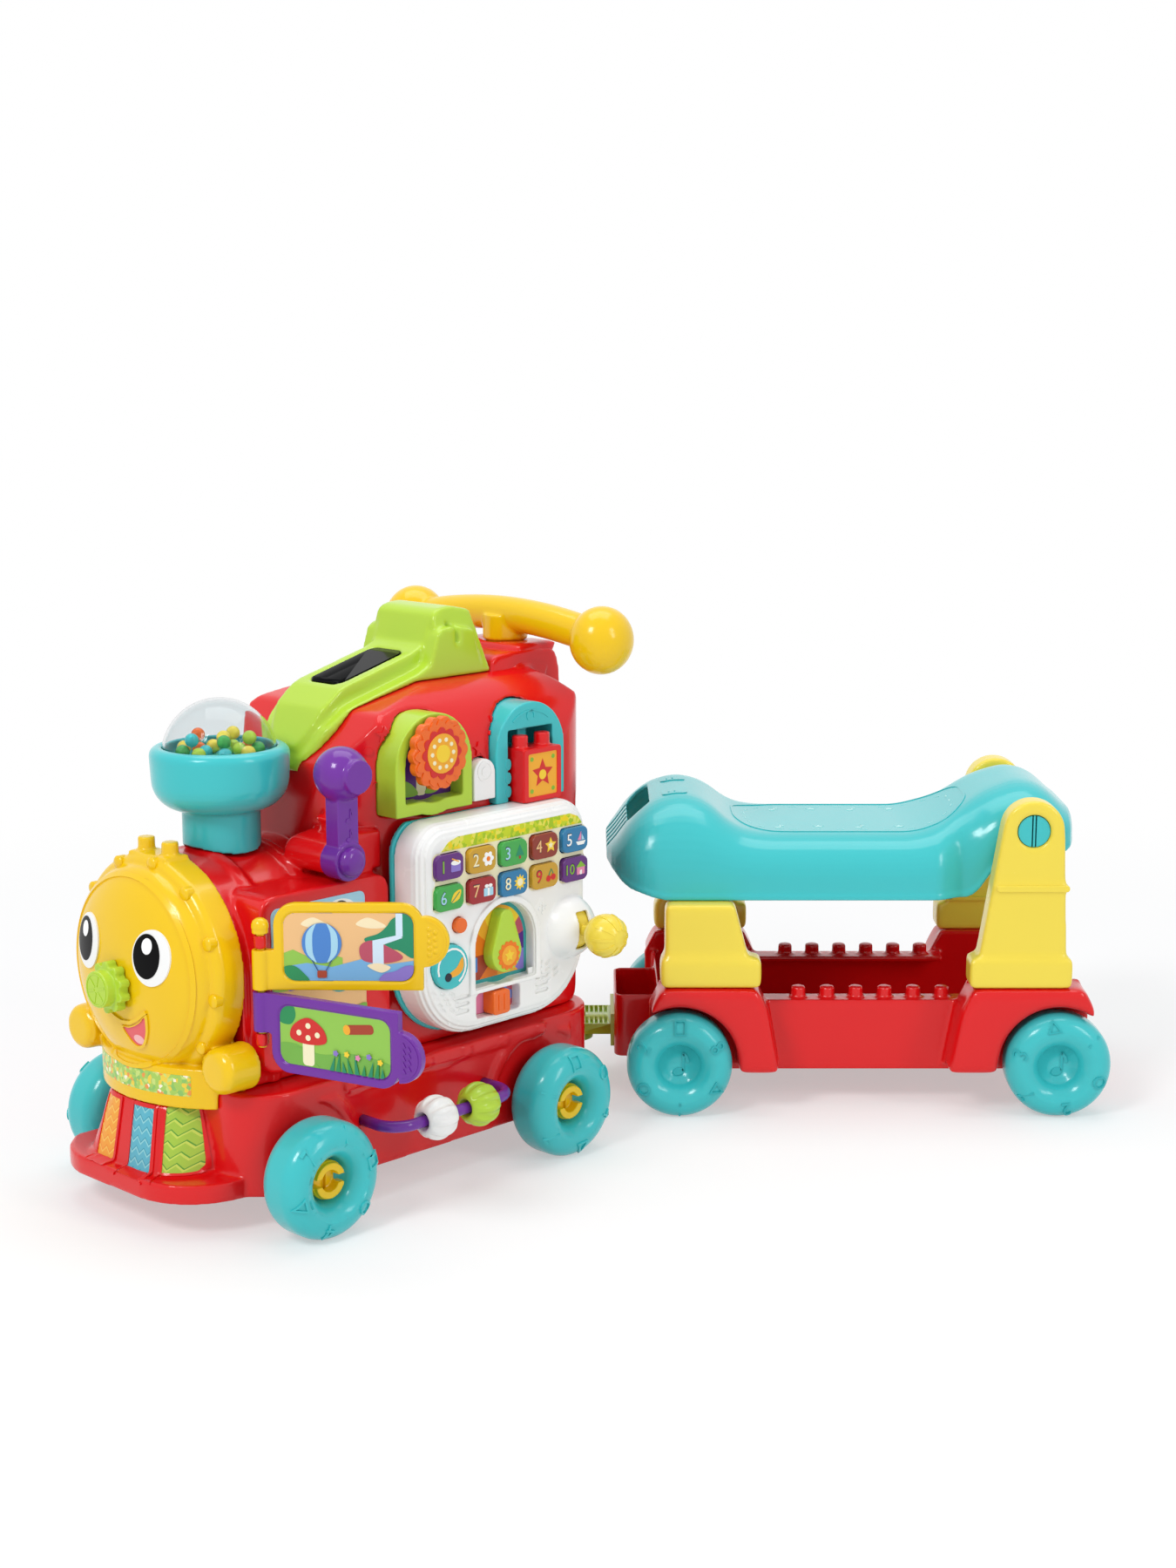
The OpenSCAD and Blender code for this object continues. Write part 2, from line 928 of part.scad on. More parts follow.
// side shape drawn out across the train
module across(y0, y1) {
  translate([0, y1, 0]) rotate([90, 0, 0]) linear_extrude(y1 - y0) children();
}

// front shape drawn out along the train
module along(x0, x1) {
  translate([x0, 0, 0]) rotate([90, 0, 90]) linear_extrude(x1 - x0) children();
}

// flat plan drawn up from a height
module lifted(z, h) {
  translate([0, 0, z]) linear_extrude(h) children();
}

// pin pointing to the left side
module lying(h, r) {
  rotate([90, 0, 0]) cylinder(h = h, r = r);
}

// turned shape, axis to the left
module turned_left(x, y, z) {
  translate([x, y, z]) rotate([90, 0, 0]) rotate_extrude($fn = fine) children();
}

// turned shape, axis forward
module turned_front(x, y, z) {
  translate([x, y, z]) rotate([0, -90, 0]) rotate_extrude($fn = fine) children();
}

module both() {
  children();
  mirror([0, 1, 0]) children();
}

// rectangle with round corners
module round_box(w, h, r) {
  translate([r, 0]) square([w - 2 * r, h]);
  translate([0, r]) square([w, h - 2 * r]);
  for (x = [r, w - r], y = [r, h - r]) translate([x, y]) circle(r, $fn = coarse);
}

module round_box_mid(w, h, r) {
  translate([-w / 2, -h / 2]) round_box(w, h, r);
}

// arch with a flat foot
module arch(w, h) {
  translate([-w / 2, 0]) square([w, h - w / 2]);
  translate([0, h - w / 2]) circle(w / 2);
}

module shares(list, x, z, l, h) {
  polygon([for (p = list) [x + p[0] * l, z + p[1] * h]]);
}

// Wheels

module tyre_flat() {
  translate([hub_r, -wheel_w / 2]) round_box(wheel_r - hub_r, wheel_w, tyre_round);
}

module loco_wheel(x, side) {
  on_low() color(teal) turned_left(x, side * loco_track, wheel_r) tyre_flat();
}

module wagon_wheel_flat() {
  translate([hollow_d / 2 - hub_in, -wheel_w / 2])
    round_box(wheel_r - hollow_d / 2 + hub_in, wheel_w, tyre_round);
  translate([axle_r, -hub_half]) square([hollow_d / 2 - axle_r, 2 * hub_half]);
  translate([0, hub_half - wall]) square([hollow_d / 2, wall]);
}

module wagon_wheel_pair(x) {
  color(teal) both() turned_left(x, -wagon_track, wheel_r) wagon_wheel_flat();
}

module hub_flat() {
  square([hub_foot_d / 2, loco_track - low_half - wheel_w / 2 + hub_foot_in]);
  square([hub_r - run_gap, loco_track - low_half + tyre_round + fit_gap]);
  translate([0, loco_track - low_half + tyre_round + fit_gap]) square([hub_r + lip_out, lip_t]);
}

module hub_at(x) {
  difference() {
    turned_left(x, -low_half, wheel_r) hub_flat();
    translate([x - hub_slot / 2, -loco_track - wheel_w, 0]) cube([hub_slot, wheel_w, wheel_d]);
  }
}

module axle_hubs() {
  on_low() color(yellow) both() {
    hub_at(front_axle_x);
    hub_at(rear_axle_x);
  }
}

module loco_wheel_front_left() {
  loco_wheel(front_axle_x, -1);
}

module loco_wheel_front_right() {
  loco_wheel(front_axle_x, 1);
}

module loco_wheel_rear_left() {
  loco_wheel(rear_axle_x, -1);
}

module loco_wheel_rear_right() {
  loco_wheel(rear_axle_x, 1);
}

module wagon_wheels_front() {
  on_wagon() wagon_wheel_pair(wagon_axle_x);
}

module wagon_wheels_rear() {
  on_wagon() wagon_wheel_pair(rear_axle_w);
}

module wagon_axle(x) {
  on_wagon() color(grey) translate([x, wagon_track + hub_half - wall, wheel_r]) lying(2 * (wagon_track + hub_half - wall), axle_r);
}

module wagon_axle_front() {
  wagon_axle(wagon_axle_x);
}

module wagon_axle_rear() {
  wagon_axle(rear_axle_w);
}

// Locomotive lower shell

module low_plan(inset) {
  hull() for (y = [-1, 1]) {
    translate([-low_rear - low_round, y * (low_half - low_round)]) circle(low_round - inset);
    translate([-low_front + nose_round, y * (low_half - nose_round)]) circle(nose_round - inset);
  }
}

module bumper_plan() {
  hull() for (y = [-1, 1], x = [bumper_front, low_front])
    translate([-x + bumper_round, y * (bumper_half - bumper_round)]) circle(bumper_round);
}

module cow_bulge() {
  hull() for (y = [-1, 1]) {
    translate([-cow_front + cow_round, y * (cow_half - cow_round), low_z])
      cylinder(h = bumper_h, r = cow_round, $fn = coarse);
    translate([-cow_front + cow_lean + cow_round, y * (cow_half - cow_narrow - cow_round), bib_z - over])
      cylinder(h = over, r = cow_round, $fn = coarse);
    translate([-low_front + cow_round, y * (cow_half - cow_round), low_z])
      cylinder(h = bib_z - low_z, r = cow_round, $fn = coarse);
  }
}

module arch_ring(x) {
  across(-low_half - arch_out, -low_half + over) intersection() {
    translate([x, wheel_r]) difference() {
      circle(wheel_r + arch_gap + arch_w, $fn = fine);
      circle(wheel_r + arch_gap, $fn = fine);
    }
    translate([-low_front + nose_round, wheel_r])
      square([low_front - nose_round - low_rear - low_round, deck_z - rail_h - wheel_r]);
  }
}

module chassis_shell() {
  on_low() color(red) difference() {
    union() {
      lifted(low_z, deck_z - low_z) low_plan(0);
      translate([0, low_shift, 0]) cow_bulge();
      lifted(low_z, bumper_h) intersection() {
        translate([0, low_shift]) bumper_plan();
        translate([-bumper_front, -low_half]) square([bumper_front, 2 * low_half]);
      }
      both() across(-low_half - rail_out, -low_half + over)
        translate([front_axle_x + rail_from, deck_z - rail_h])
          round_box(loco_wheelbase - rail_from, rail_h, rail_r);
      both() for (k = [0 : rivets - 1])
        translate([rear_axle_x - k * rivet_pitch, -low_half, deck_z - rail_h / 2])
          rotate([90, 0, 0]) cylinder(h = rail_out + rivet_h, r = rivet_d / 2, $fn = coarse);
      both() {
        arch_ring(front_axle_x);
        arch_ring(rear_axle_x);
      }
    }
    lifted(low_z + floor_t, deck_z - low_z - floor_t - wall) low_plan(wall);
    translate([-cab_front + shoulder_r, -cab_half + shoulder_r + low_shift, deck_z - wall - over])
      cube([cab_front - cab_rear - 2 * shoulder_r, 2 * (cab_half - shoulder_r), wall + 2 * over]);
    door_place(fit_gap, door_t + fit_gap, over);
    translate([0, 0, door_t]) door_place(-door_ledge, floor_t + over, 0);
    for (x = [front_axle_x, rear_axle_x], y = [-1, 1]) translate([x, y * screw_off, low_z - over])
      cylinder(h = floor_t + 2 * over, r = screw_d / 4, $fn = coarse);
  }
}

module door_place(grow, h, below) {
  translate([rear_axle_x - wheel_r - door_l / 2, 0, low_z - below]) linear_extrude(h + below)
    square([door_l + 2 * grow, door_w + 2 * grow], center = true);
}

module draw_bar() {
  on_loco() color(green) {
    lifted(bar_top - bar_t, bar_t) {
      circle(bar_half);
      translate([-low_rear, -bar_half]) square([low_rear, 2 * bar_half]);
    }
    translate([-low_rear, -bar_half - wall, bar_top - bar_t - wall])
      cube([wall, 2 * (bar_half + wall), bar_t + 2 * wall]);
    translate([0, 0, bar_top - over])
      cylinder(h = tongue_t + 2 * fit_gap + 2 * over, r = pin_d / 2 - run_gap);
    translate([0, 0, tongue_z + fit_gap]) cylinder(h = pin_head, r = pin_d / 2 + lip_out);
  }
}

module battery_door() {
  on_low() color(red) door_place(0, door_t, 0);
}

module shell_screws() {
  on_low() color(grey) for (x = [front_axle_x, rear_axle_x], y = [-1, 1])
    translate([x, y * screw_off, low_z - over]) {
    cylinder(h = over, r = screw_d / 2, $fn = coarse);
    cylinder(h = screw_l, r = screw_d / 4, $fn = coarse);
  }
}

module battery_pack() {
  on_low() color(grey)
    translate([rear_axle_x - wheel_r - door_l / 2 - pack_l / 2, -pack_w / 2, low_z + floor_t])
      cube([pack_l, pack_w, pack_h]);
}

// Upper shell

module body_section(grow) {
  translate([0, boiler_z]) circle(boiler_r + grow, $fn = fine);
  translate([-boiler_r - grow, deck_z]) square([2 * (boiler_r + grow), boiler_z - deck_z]);
}

module cab_side(inset) {
  offset(r = cab_soft) offset(delta = -cab_soft - inset)
    shares(cab_shares, -cab_front, deck_z, cab_front - cab_rear, roof_z - deck_z);
}

module cab_section(inset) {
  hull() {
    translate([-cab_half + inset, deck_z]) square([2 * (cab_half - inset), cab_side_z - deck_z]);
    for (y = [-1, 1]) translate([y * (cab_half - shoulder_r), roof_z - shoulder_r])
      circle(shoulder_r - inset);
  }
}

module cab_plan(inset) {
  hull() for (y = [-1, 1]) {
    translate([-cab_front + cab_brow, y * (cab_half - cab_brow)]) circle(cab_brow - inset);
    translate([-cab_rear - cab_corner, y * (cab_half - cab_corner)]) circle(cab_corner - inset);
  }
}

module cab_block(inset) {
  intersection() {
    across(-cab_half, cab_half) cab_side(inset);
    along(-cab_front, -cab_rear) cab_section(inset);
    lifted(deck_z, roof_z - deck_z) cab_plan(inset);
  }
}

module pedestal() {
  hull() {
    translate([-handle_at - ped_lean - ped_len / 2, -ped_half - ped_flare, roof_z - ped_deep])
      cube([ped_len, 2 * (ped_half + ped_flare), wall]);
    translate([-handle_at - ped_len / 2, -ped_half, ped_z - wall]) cube([ped_len, 2 * ped_half, wall]);
  }
}

module upper_shell() {
  on_loco() color(red) difference() {
    union() {
      along(boiler_x, -cab_front + cab_corner) body_section(0);
      for (k = [0, 1])
        along(boiler_x + band_at + k * band_step, boiler_x + band_at + k * band_step + band_w)
          body_section(band_out);
      cab_block(0);
      across(-box_out, -box_in) translate([box_x, box_z]) round_box(box_l, box_h, box_r);
      pedestal();
      horn_boss();
      hinge_brackets();
      translate([-stub_at, -stub_off, stub_z]) stub();
    }
    along(boiler_x - over, -cab_front + cab_corner) body_section(-wall);
    translate([-cab_front, -boiler_r + wall, deck_z - over])
      cube([cab_corner, 2 * (boiler_r - wall), 2 * over]);
    cab_block(wall);
    translate([-cab_front + cab_brow, -cab_half + wall, deck_z - over])
      cube([cab_front - cab_rear - cab_brow - cab_corner, 2 * (cab_half - wall), cab_corner]);
    card_pocket();
    across(-cab_half - over, -win_root) offset(fit_gap) window_flat();
    across(-cab_half - over, -niche_root) offset(fit_gap) niche_flat();
    key_cut();
    handle_socket();
    horn_pin_cut();
    hinge_pin_cut();
  }
}

module window_flat() {
  translate([-win_at, win_z]) arch(win_w, win_h);
}

module niche_flat() {
  translate([-niche_at, panel_top]) arch(niche_w, niche_h);
}

module stub() {
  cylinder(h = stub_h, r = stub_d / 2);
  translate([0, 0, stub_h - wall]) cylinder(h = wall, r = stub_d / 2 + wall);
}

module horn_boss() {
  across(-horn_y + fit_gap, -horn_root) hull() {
    translate([-horn_at, horn_z]) circle(horn_r - over);
    translate([-cab_front, horn_z - horn_r]) square([horn_reach, 2 * horn_r]);
  }
}

module horn_pin_cut() {
  translate([-horn_at, -horn_y + horn_t, horn_z]) lying(horn_t + over, horn_pin / 2);
}

module bracket(z) {
  lifted(z, bracket_t) hull() {
    translate([-hinge_at, -hinge_y]) circle(bracket_r);
    translate([box_x + box_r / 2, -box_out + 2 * bracket_r]) circle(bracket_r);
  }
}

module hinge_brackets() {
  bracket(page_up_z + knuckle_h + fit_gap);
  bracket(page_low_top - knuckle_h - fit_gap - bracket_t);
}

module hinge_pin_cut() {
  translate([-hinge_at, -hinge_y, page_z]) cylinder(h = page_top - page_z, r = hinge_d / 2 + run_gap / 2);
}

module card_pocket() {
  across(-box_out - over, -box_out + card_t) translate([box_x + box_frame, box_z + box_frame])
    round_box(card_l, box_h - 2 * box_frame, box_r / 2);
}

module key_cut() {
  across(-cab_half - over, -cab_half + key_out) translate([-key_at, key_z - key_h / 2 - fit_gap])
    arch(key_w + 2 * fit_gap, key_h + 2 * fit_gap);
}

module handle_socket() {
  translate([-handle_at, 0, roof_z - 2 * wall]) cylinder(h = ped_z, r = saddle_r - wall);
}

// Face

module dome_flat(grow) {
  intersection() {
    scale([dome_r + grow, dome_h + grow] / dome_r) circle(dome_r, $fn = fine);
    square([dome_r + grow, dome_h + grow]);
  }
}

module face_plate() {
  on_loco() color(yellow) difference() {
    union() {
      turned_front(boiler_x, 0, boiler_z) {
        square([ring_r, ring_t - ring_round]);
        square([ring_r - ring_round, ring_t]);
        translate([ring_r - ring_round, ring_t - ring_round]) circle(ring_round, $fn = coarse);
        translate([0, ring_t]) dome_flat(0);
      }
      both() turned_front(boiler_x, lobe_off, lobe_z) {
        square([lobe_r, lobe_len - lobe_step]);
        square([lobe_r - lobe_step, lobe_len]);
      }
      lifted(bib_z + fit_gap, bib_h) intersection() {
        translate([boiler_x - bib_front + bib_r, 0]) circle(bib_r, $fn = 2 * fine);
        translate([boiler_x - bib_front, -lobe_off]) square([bib_front, 2 * lobe_off]);
      }
      translate([boiler_x - plate_l, -plate_w / 2, plate_z - plate_deep]) cube([plate_l, plate_w, plate_deep]);
      for (y = [-1, 1]) translate([boiler_x - plate_l / 2, y * face_stud, plate_z])
        cylinder(h = stud_h, r = stud_d / 2);
      translate([nose_x + over, 0, nose_z]) rotate([0, -90, 0])
        cylinder(h = nose_t + over, r = spindle_d / 2 - run_gap);
    }
    translate([0, -low_shift, 0]) lifted(low_z, deck_z - low_z + fit_gap) low_plan(-fit_gap);
    turned_front(boiler_x + over, 0, boiler_z) {
      square([dome_r - wall, ring_t + over - wall]);
      translate([0, ring_t + over - wall]) dome_flat(-wall);
    }
  }
}

module eyes() {
  on_loco() color(white) both() difference() {
    intersection() {
      turned_front(face_x, 0, boiler_z) dome_flat(eye_t);
      along(face_x - dome_h - eye_t, face_x) translate([eye_off, boiler_z + eye_up])
        scale([eye_w / eye_h, 1]) circle(eye_h / 2);
    }
    turned_front(face_x, 0, boiler_z) dome_flat(0);
  }
}

module nose_gear() {
  on_loco() color(green) translate([nose_x - fit_gap, 0, nose_z]) rotate([0, -90, 0])
    difference() {
    union() {
      linear_extrude(nose_t) gear_flat();
      cylinder(h = nose_t + cap_h, r = cap_r);
    }
    translate([0, 0, -over]) cylinder(h = nose_t + over, r = spindle_d / 2);
  }
}

module gear_flat() {
  circle(nose_r - tooth_r);
  for (k = [0 : teeth - 1]) rotate(k * full / teeth) translate([nose_r - tooth_r, 0])
    circle(tooth_r, $fn = coarse);
}

// Chimney

module bowl_flat() {
  difference() {
    union() {
      translate([0, boiler_z + boiler_r / 2]) square([foot_r, foot_z - boiler_z - boiler_r / 2 + over]);
      hull() {
        translate([0, foot_z]) square([foot_r, over]);
        translate([bowl_r - bowl_round, bowl_z - bowl_round]) circle(bowl_round, $fn = coarse);
        translate([bowl_r - belly_in - belly_r, bowl_z - belly_down]) circle(belly_r, $fn = coarse);
        translate([0, bowl_z - bowl_round]) square([bowl_r - bowl_round, bowl_round]);
      }
    }
    translate([0, bowl_z - bowl_floor]) square([clear_r, bowl_floor + over]);
    translate([0, boiler_z]) square([foot_r - wall, foot_z - boiler_z]);
  }
}

module chimney_bowl() {
  on_loco() color(teal) difference() {
    translate([-chim_at, 0, 0]) rotate_extrude($fn = fine) bowl_flat();
    along(boiler_x, -cab_front) body_section(band_out);
  }
}

module popper_dome() {
  on_loco() color("#e8f4f6", 0.4) translate([-chim_at, 0, bowl_z - bowl_floor])
    rotate_extrude($fn = fine) difference() {
      popper_flat(0);
      popper_flat(clear_t);
    }
}

module popper_flat(t) {
  square([clear_r - fit_gap - t, bowl_floor + fit_gap]);
  translate([0, bowl_floor]) intersection() {
    translate([0, clear_h - clear_curve]) circle(clear_curve - t, $fn = 2 * fine);
    square([clear_r - fit_gap - t, clear_h]);
  }
}

module popper_balls() {
  on_loco() translate([-chim_at, 0, bowl_z - bowl_floor + ball_d / 2]) for (k = [0 : balls - 1])
    color(ball_colors[k % 5]) rotate([0, 0, k * full / balls]) translate([ball_ring, 0, 0])
      sphere(d = ball_d, $fn = coarse);
}

// Hood and handle

module hood_side() {
  offset(r = hood_soft) offset(delta = -hood_soft)
    shares(hood_shares, -hood_front, hood_low, hood_len, hood_high);
}

module lens_place(grow, up) {
  translate([-lens_at, 0, lens_z]) rotate([0, -lens_tilt, 0]) translate([0, 0, -lens_t])
    linear_extrude(lens_t + up) round_box_mid(lens_l + 2 * grow, lens_w + 2 * grow, bowl_round);
}

module hood_bar(half, front) {
  intersection() {
    across(-half, half) hood_side();
    lifted(hood_low - hood_high, 2 * hood_high) hull() {
      for (y = [-1, 1]) translate([-hood_front + front, y * (half - front)]) circle(front);
      translate([-hood_front + hood_len - over, -half]) square([over, 2 * half]);
    }
  }
}

module top_hood() {
  on_loco() color(green) difference() {
    union() {
      hood_bar(hood_in, hood_in);
      translate([-skirt_out, 0, -skirt_drop]) hood_bar(hood_half, hood_half);
      intersection() {
        across(-hood_half, hood_half) hood_side();
        along(-hood_front + hood_len * block_share, -hood_front + hood_len) hull() {
          translate([-hood_half, hood_low]) square([2 * hood_half, hood_high / 2]);
          translate([-block_half, hood_low]) square([2 * block_half, hood_high]);
        }
      }
    }
    cab_block(0);
    pedestal();
    lens_place(fit_gap, lens_t);
  }
}

module hood_window() {
  on_loco() color(black) lens_place(0, 0);
}

module push_handle() {
  on_loco() color(yellow) translate([-handle_at, 0, handle_z]) union() {
    both() translate([0, -grip_off, 0]) rotate([90, 0, 0]) rotate_extrude($fn = fine)
      intersection() {
      scale([1, grip_half / grip_r]) circle(grip_r);
      translate([0, -grip_r]) square([grip_r, 2 * grip_r]);
    }
    translate([0, 0, grip_rise - bar_curve]) rotate([0, -90, 0]) rotate([0, 0, -bar_turn])
      rotate_extrude(angle = 2 * bar_turn, $fn = 2 * fine) translate([bar_curve, 0]) circle(grip_bar_r);
    translate([0, 0, roof_z - wall - handle_z])
      cylinder(h = handle_z + grip_rise - roof_z + wall, r = saddle_r - wall - fit_gap / 2);
    translate([0, 0, ped_z - handle_z]) cylinder(h = handle_z - ped_z + grip_rise, r = saddle_r);
  }
}

// Window, key and niche

module window_frame() {
  on_loco() color(green) difference() {
    across(-win_out, -win_root) window_flat();
    across(-win_out - over, -win_back) translate([-win_at, win_z + win_bar])
      arch(win_w - 2 * win_bar, win_h - 2 * win_bar);
    across(-win_out, -win_root + over) at_disc()
      circle(disc_stem / 2 + fit_gap);
  }
}

module light_button() {
  on_loco() color(orange) {
    across(-win_out - disc_go - disc_t, -win_out - disc_go) at_disc()
      disc_flat();
    across(-win_out - disc_go - over, -win_root - disc_go) at_disc()
      circle(disc_stem / 2);
  }
}

module at_disc() {
  translate([-disc_at, win_z + disc_up]) children();
}

module disc_flat() {
  circle(disc_d / 2 - petal_r);
  for (k = [0 : petals - 1]) rotate(k * full / petals) translate([disc_d / 2 - petal_r, 0])
    circle(petal_r, $fn = coarse);
}

module door_key() {
  on_loco() color(white) across(-cab_half - key_out, -cab_half + key_out)
    translate([-key_at, key_z - key_h / 2]) arch(key_w, key_h);
}

module block_niche() {
  on_loco() color(teal) difference() {
    across(-win_out, -niche_root) niche_flat();
    across(-win_out - over, -niche_root - wall)
      translate([-niche_at - notch_w / 2, panel_top - over]) square([notch_w, notch_h + over]);
  }
  on_loco() color(yellow) across(-win_out + tab_in, -niche_root - wall + over)
    translate([-niche_at - tab_w / 2, panel_top + notch_h - tab_h]) square([tab_w, tab_h + over]);
}

module letter_block() {
  on_loco() color(red) translate([-niche_at, -cube_y, panel_top + fit_gap]) {
    translate([-cube_w / 2, 0, 0]) cube([cube_w, cube_d, cube_h]);
    for (x = [-1, 1]) translate([x * cube_stud, cube_d / 2, cube_h]) cylinder(h = stud_h, r = stud_d / 2);
  }
}

// Control panel

module panel_flat(grow) {
  offset(r = grow) hull() {
    for (x = [-panel_front + panel_r_up, -panel_rear - panel_r_up])
      translate([x, panel_top - panel_r_up]) circle(panel_r_up);
    for (x = [-panel_front + panel_r_low, -panel_rear - panel_r_low])
      translate([x, panel_z + panel_r_low]) circle(panel_r_low);
  }
}

module each_key(k) {
  translate([-num_at + (k % keys_row) * num_pitch, num_z - floor(k / keys_row) * num_drop]) children();
}

module control_panel() {
  on_loco() color(white) difference() {
    union() {
      for (k = [0 : edge_steps]) across(-face_out + edge_r * (1 - sin(k * 90 / edge_steps)), -rim_y)
          panel_flat(-edge_r * (1 - cos(k * 90 / edge_steps)));
      translate([-lever_at, -lever_in, lever_z]) sphere(lever_r, $fn = fine);
    }
    difference() {
      across(-panel_in, -rim_y + over) panel_flat(-edge_r / 2 - wall);
      across(-panel_in - over, -panel_in + tray_deep + wall) {
        dial_flat(wall);
        switch_flat(wall);
      }
    }
    translate([-lever_at, -lever_in, lever_z]) sphere(lever_r - lever_wall, $fn = fine);
    across(-rim_y, 0) panel_flat(lever_r);
    for (k = [0 : keys - 1]) {
      across(-face_out - over, -panel_in + over) each_key(k)
        round_box_mid(num_w + 2 * fit_gap, num_h + 2 * fit_gap, num_r);
      across(-panel_in, -panel_in + num_deep + 2 * num_go) each_key(k)
        round_box_mid(num_w + 2 * fit_gap, num_h + 2 * (num_skirt + fit_gap), num_r);
    }
    across(-face_out - over, -panel_in + over) {
      translate([-dot_at, dot_z]) circle(dot_d / 2 + fit_gap);
      translate([-tune_at, tune_z]) circle(tune_d / 2 + fit_gap);
      voice_slots(voice_at_r);
      voice_slots(voice_at_l);
    }
    across(-face_out - over, -panel_in + tray_deep) {
      dial_flat(0);
      switch_flat(0);
    }
    across(-face_out, -rim_y) at_dial() circle(pear_pin / 2);
    lever_slot();
  }
}

module at_dial() {
  translate([-dial_at, dial_z + dial_up]) children();
}

module dial_flat(grow) {
  translate([-dial_at, dial_z - grow]) arch(dial_w + 2 * grow, dial_h + 2 * grow);
}

module switch_flat(grow) {
  translate([-sw_at, sw_z]) round_box_mid(sw_w + 2 * grow, sw_h + 2 * grow, wall);
}

module voice_slots(at) {
  for (k = [0 : voices - 1]) translate([-at, voice_z + k * voice_pitch])
    square([voice_l, voice_w], center = true);
}

module lever_slot() {
  translate([-lever_at - slot_w / 2, -lever_in - 2 * lever_r, lever_z - lever_r * sin(slot_turn)])
    cube([slot_w, 2 * lever_r, 2 * lever_r * sin(slot_turn)]);
}

module panel_back() {
  on_loco() color(teal) across(-rim_y, -cab_half) intersection() {
    panel_flat(rim_out);
    translate([-cab_front, 0]) square([cab_front, panel_top]);
  }
}

module number_key(k) {
  on_loco() color(key_colors[k]) each_key_solid(k);
}

module each_key_solid(k) {
  across(-face_out - num_out, -panel_in + num_deep) each_key(k) round_box_mid(num_w, num_h, num_r);
  across(-panel_in + num_go / 2, -panel_in + num_deep) each_key(k)
    round_box_mid(num_w, num_h + 2 * num_skirt, num_r);
}

module number_key_1() {
  number_key(0);
}

module number_key_2() {
  number_key(1);
}

module number_key_3() {
  number_key(2);
}

module number_key_4() {
  number_key(3);
}

module number_key_5() {
  number_key(4);
}

module number_key_6() {
  number_key(5);
}

module number_key_7() {
  number_key(6);
}

module number_key_8() {
  number_key(7);
}

module number_key_9() {
  number_key(8);
}

module number_key_10() {
  number_key(9);
}

module round_button(at, z, d) {
  across(-face_out - num_out, -panel_in + num_deep) translate([-at, z]) circle(d / 2);
  across(-panel_in + num_go / 2, -panel_in + num_deep) translate([-at, z]) circle(d / 2 + num_skirt);
}

module music_button() {
  on_loco() color(orange) round_button(dot_at, dot_z, dot_d);
}

module melody_button() {
  on_loco() color(teal) round_button(tune_at, tune_z, tune_d);
}

module dial_pointer() {
  on_loco() color(green) {
    across(-face_out - pear_out, -panel_in + tray_deep - card_t - fit_gap)
      at_dial() hull() {
      circle(pear_r);
      translate([0, tip_up]) circle(tip_r);
    }
    across(-face_out, -panel_in + tray_deep + wall) at_dial()
      circle(pear_pin / 2 - run_gap);
  }
}

module slide_switch() {
  on_loco() color(orange) across(-face_out - knob_out, -panel_in + tray_deep - card_t - fit_gap)
    translate([-sw_at, sw_z]) round_box_mid(knob_w, sw_h - 2 * fit_gap, wall);
}

module ball_lever() {
  on_loco() color(pale_yellow) translate([-lever_at, 0, lever_z]) {
    translate([0, -lever_in, 0]) lying(knob_y - lever_in, rod_d / 2);
    difference() {
      translate([0, -lever_in, 0]) sphere(lever_r - lever_wall - fit_gap, $fn = fine);
      translate([-lever_r, -lever_in + swivel_cut, -lever_r]) cube([2 * lever_r, lever_r, 2 * lever_r]);
    }
    translate([0, -knob_y, 0]) sphere(d = knob_d);
  }
}

// Cards and works

module printed_cards() {
  on_loco() color(pale_yellow) {
    across(-box_out, -box_out + card_t)
      translate([box_x + box_frame + fit_gap, box_z + box_frame + fit_gap])
        round_box(card_l - 2 * fit_gap, box_h - 2 * (box_frame + fit_gap), box_r / 2);
    across(-panel_in + tray_deep - card_t, -panel_in + tray_deep) difference() {
      dial_flat(-fit_gap);
      at_dial() circle(pear_pin / 2 + fit_gap);
    }
    across(-panel_in + tray_deep - card_t, -panel_in + tray_deep) switch_flat(-fit_gap);
    across(-win_back - card_t, -win_back) difference() {
      translate([-win_at, win_z + win_bar + fit_gap])
        arch(win_w - 2 * win_bar - 2 * fit_gap, win_h - 2 * win_bar - 2 * fit_gap);
      at_disc() circle(disc_stem / 2 + fit_gap);
    }
  }
}

module sound_unit() {
  on_loco() color(leaf) {
    across(-rim_y - post_h - board_t, -rim_y - post_h) translate([-num_at, num_z - num_drop])
      square([board_l, board_h]);
    for (x = [0, 1], z = [0, 1]) across(-rim_y - post_h, -rim_y)
      translate([-num_at + post_d, num_z - num_drop + post_d])
        translate([x * (board_l - 2 * post_d), z * (board_h - 2 * post_d)])
        circle(post_d / 2, $fn = coarse);
  }
  on_loco() color(black) across(-rim_y - speaker_t, -rim_y)
    translate([-speaker_at, speaker_z]) circle(speaker_d / 2);
}

// Pages and beads

module page_flat(z, h, up) {
  start = knuckle_d / 2 + page_start;
  low = up > 0 ? z : z + h;
  difference() {
    union() {
      translate([start, z]) square([page_l - start, h]);
      translate([page_l, z + h / 2 + up * tab_up]) circle(tab_half);
    }
    for (x = [start, page_l - page_round]) translate([x, up > 0 ? z + h - page_round : z])
      square(page_round);
  }
  for (x = [start + page_round, page_l - page_round]) translate([x, low + up * (h - page_round)])
    circle(page_round);
}

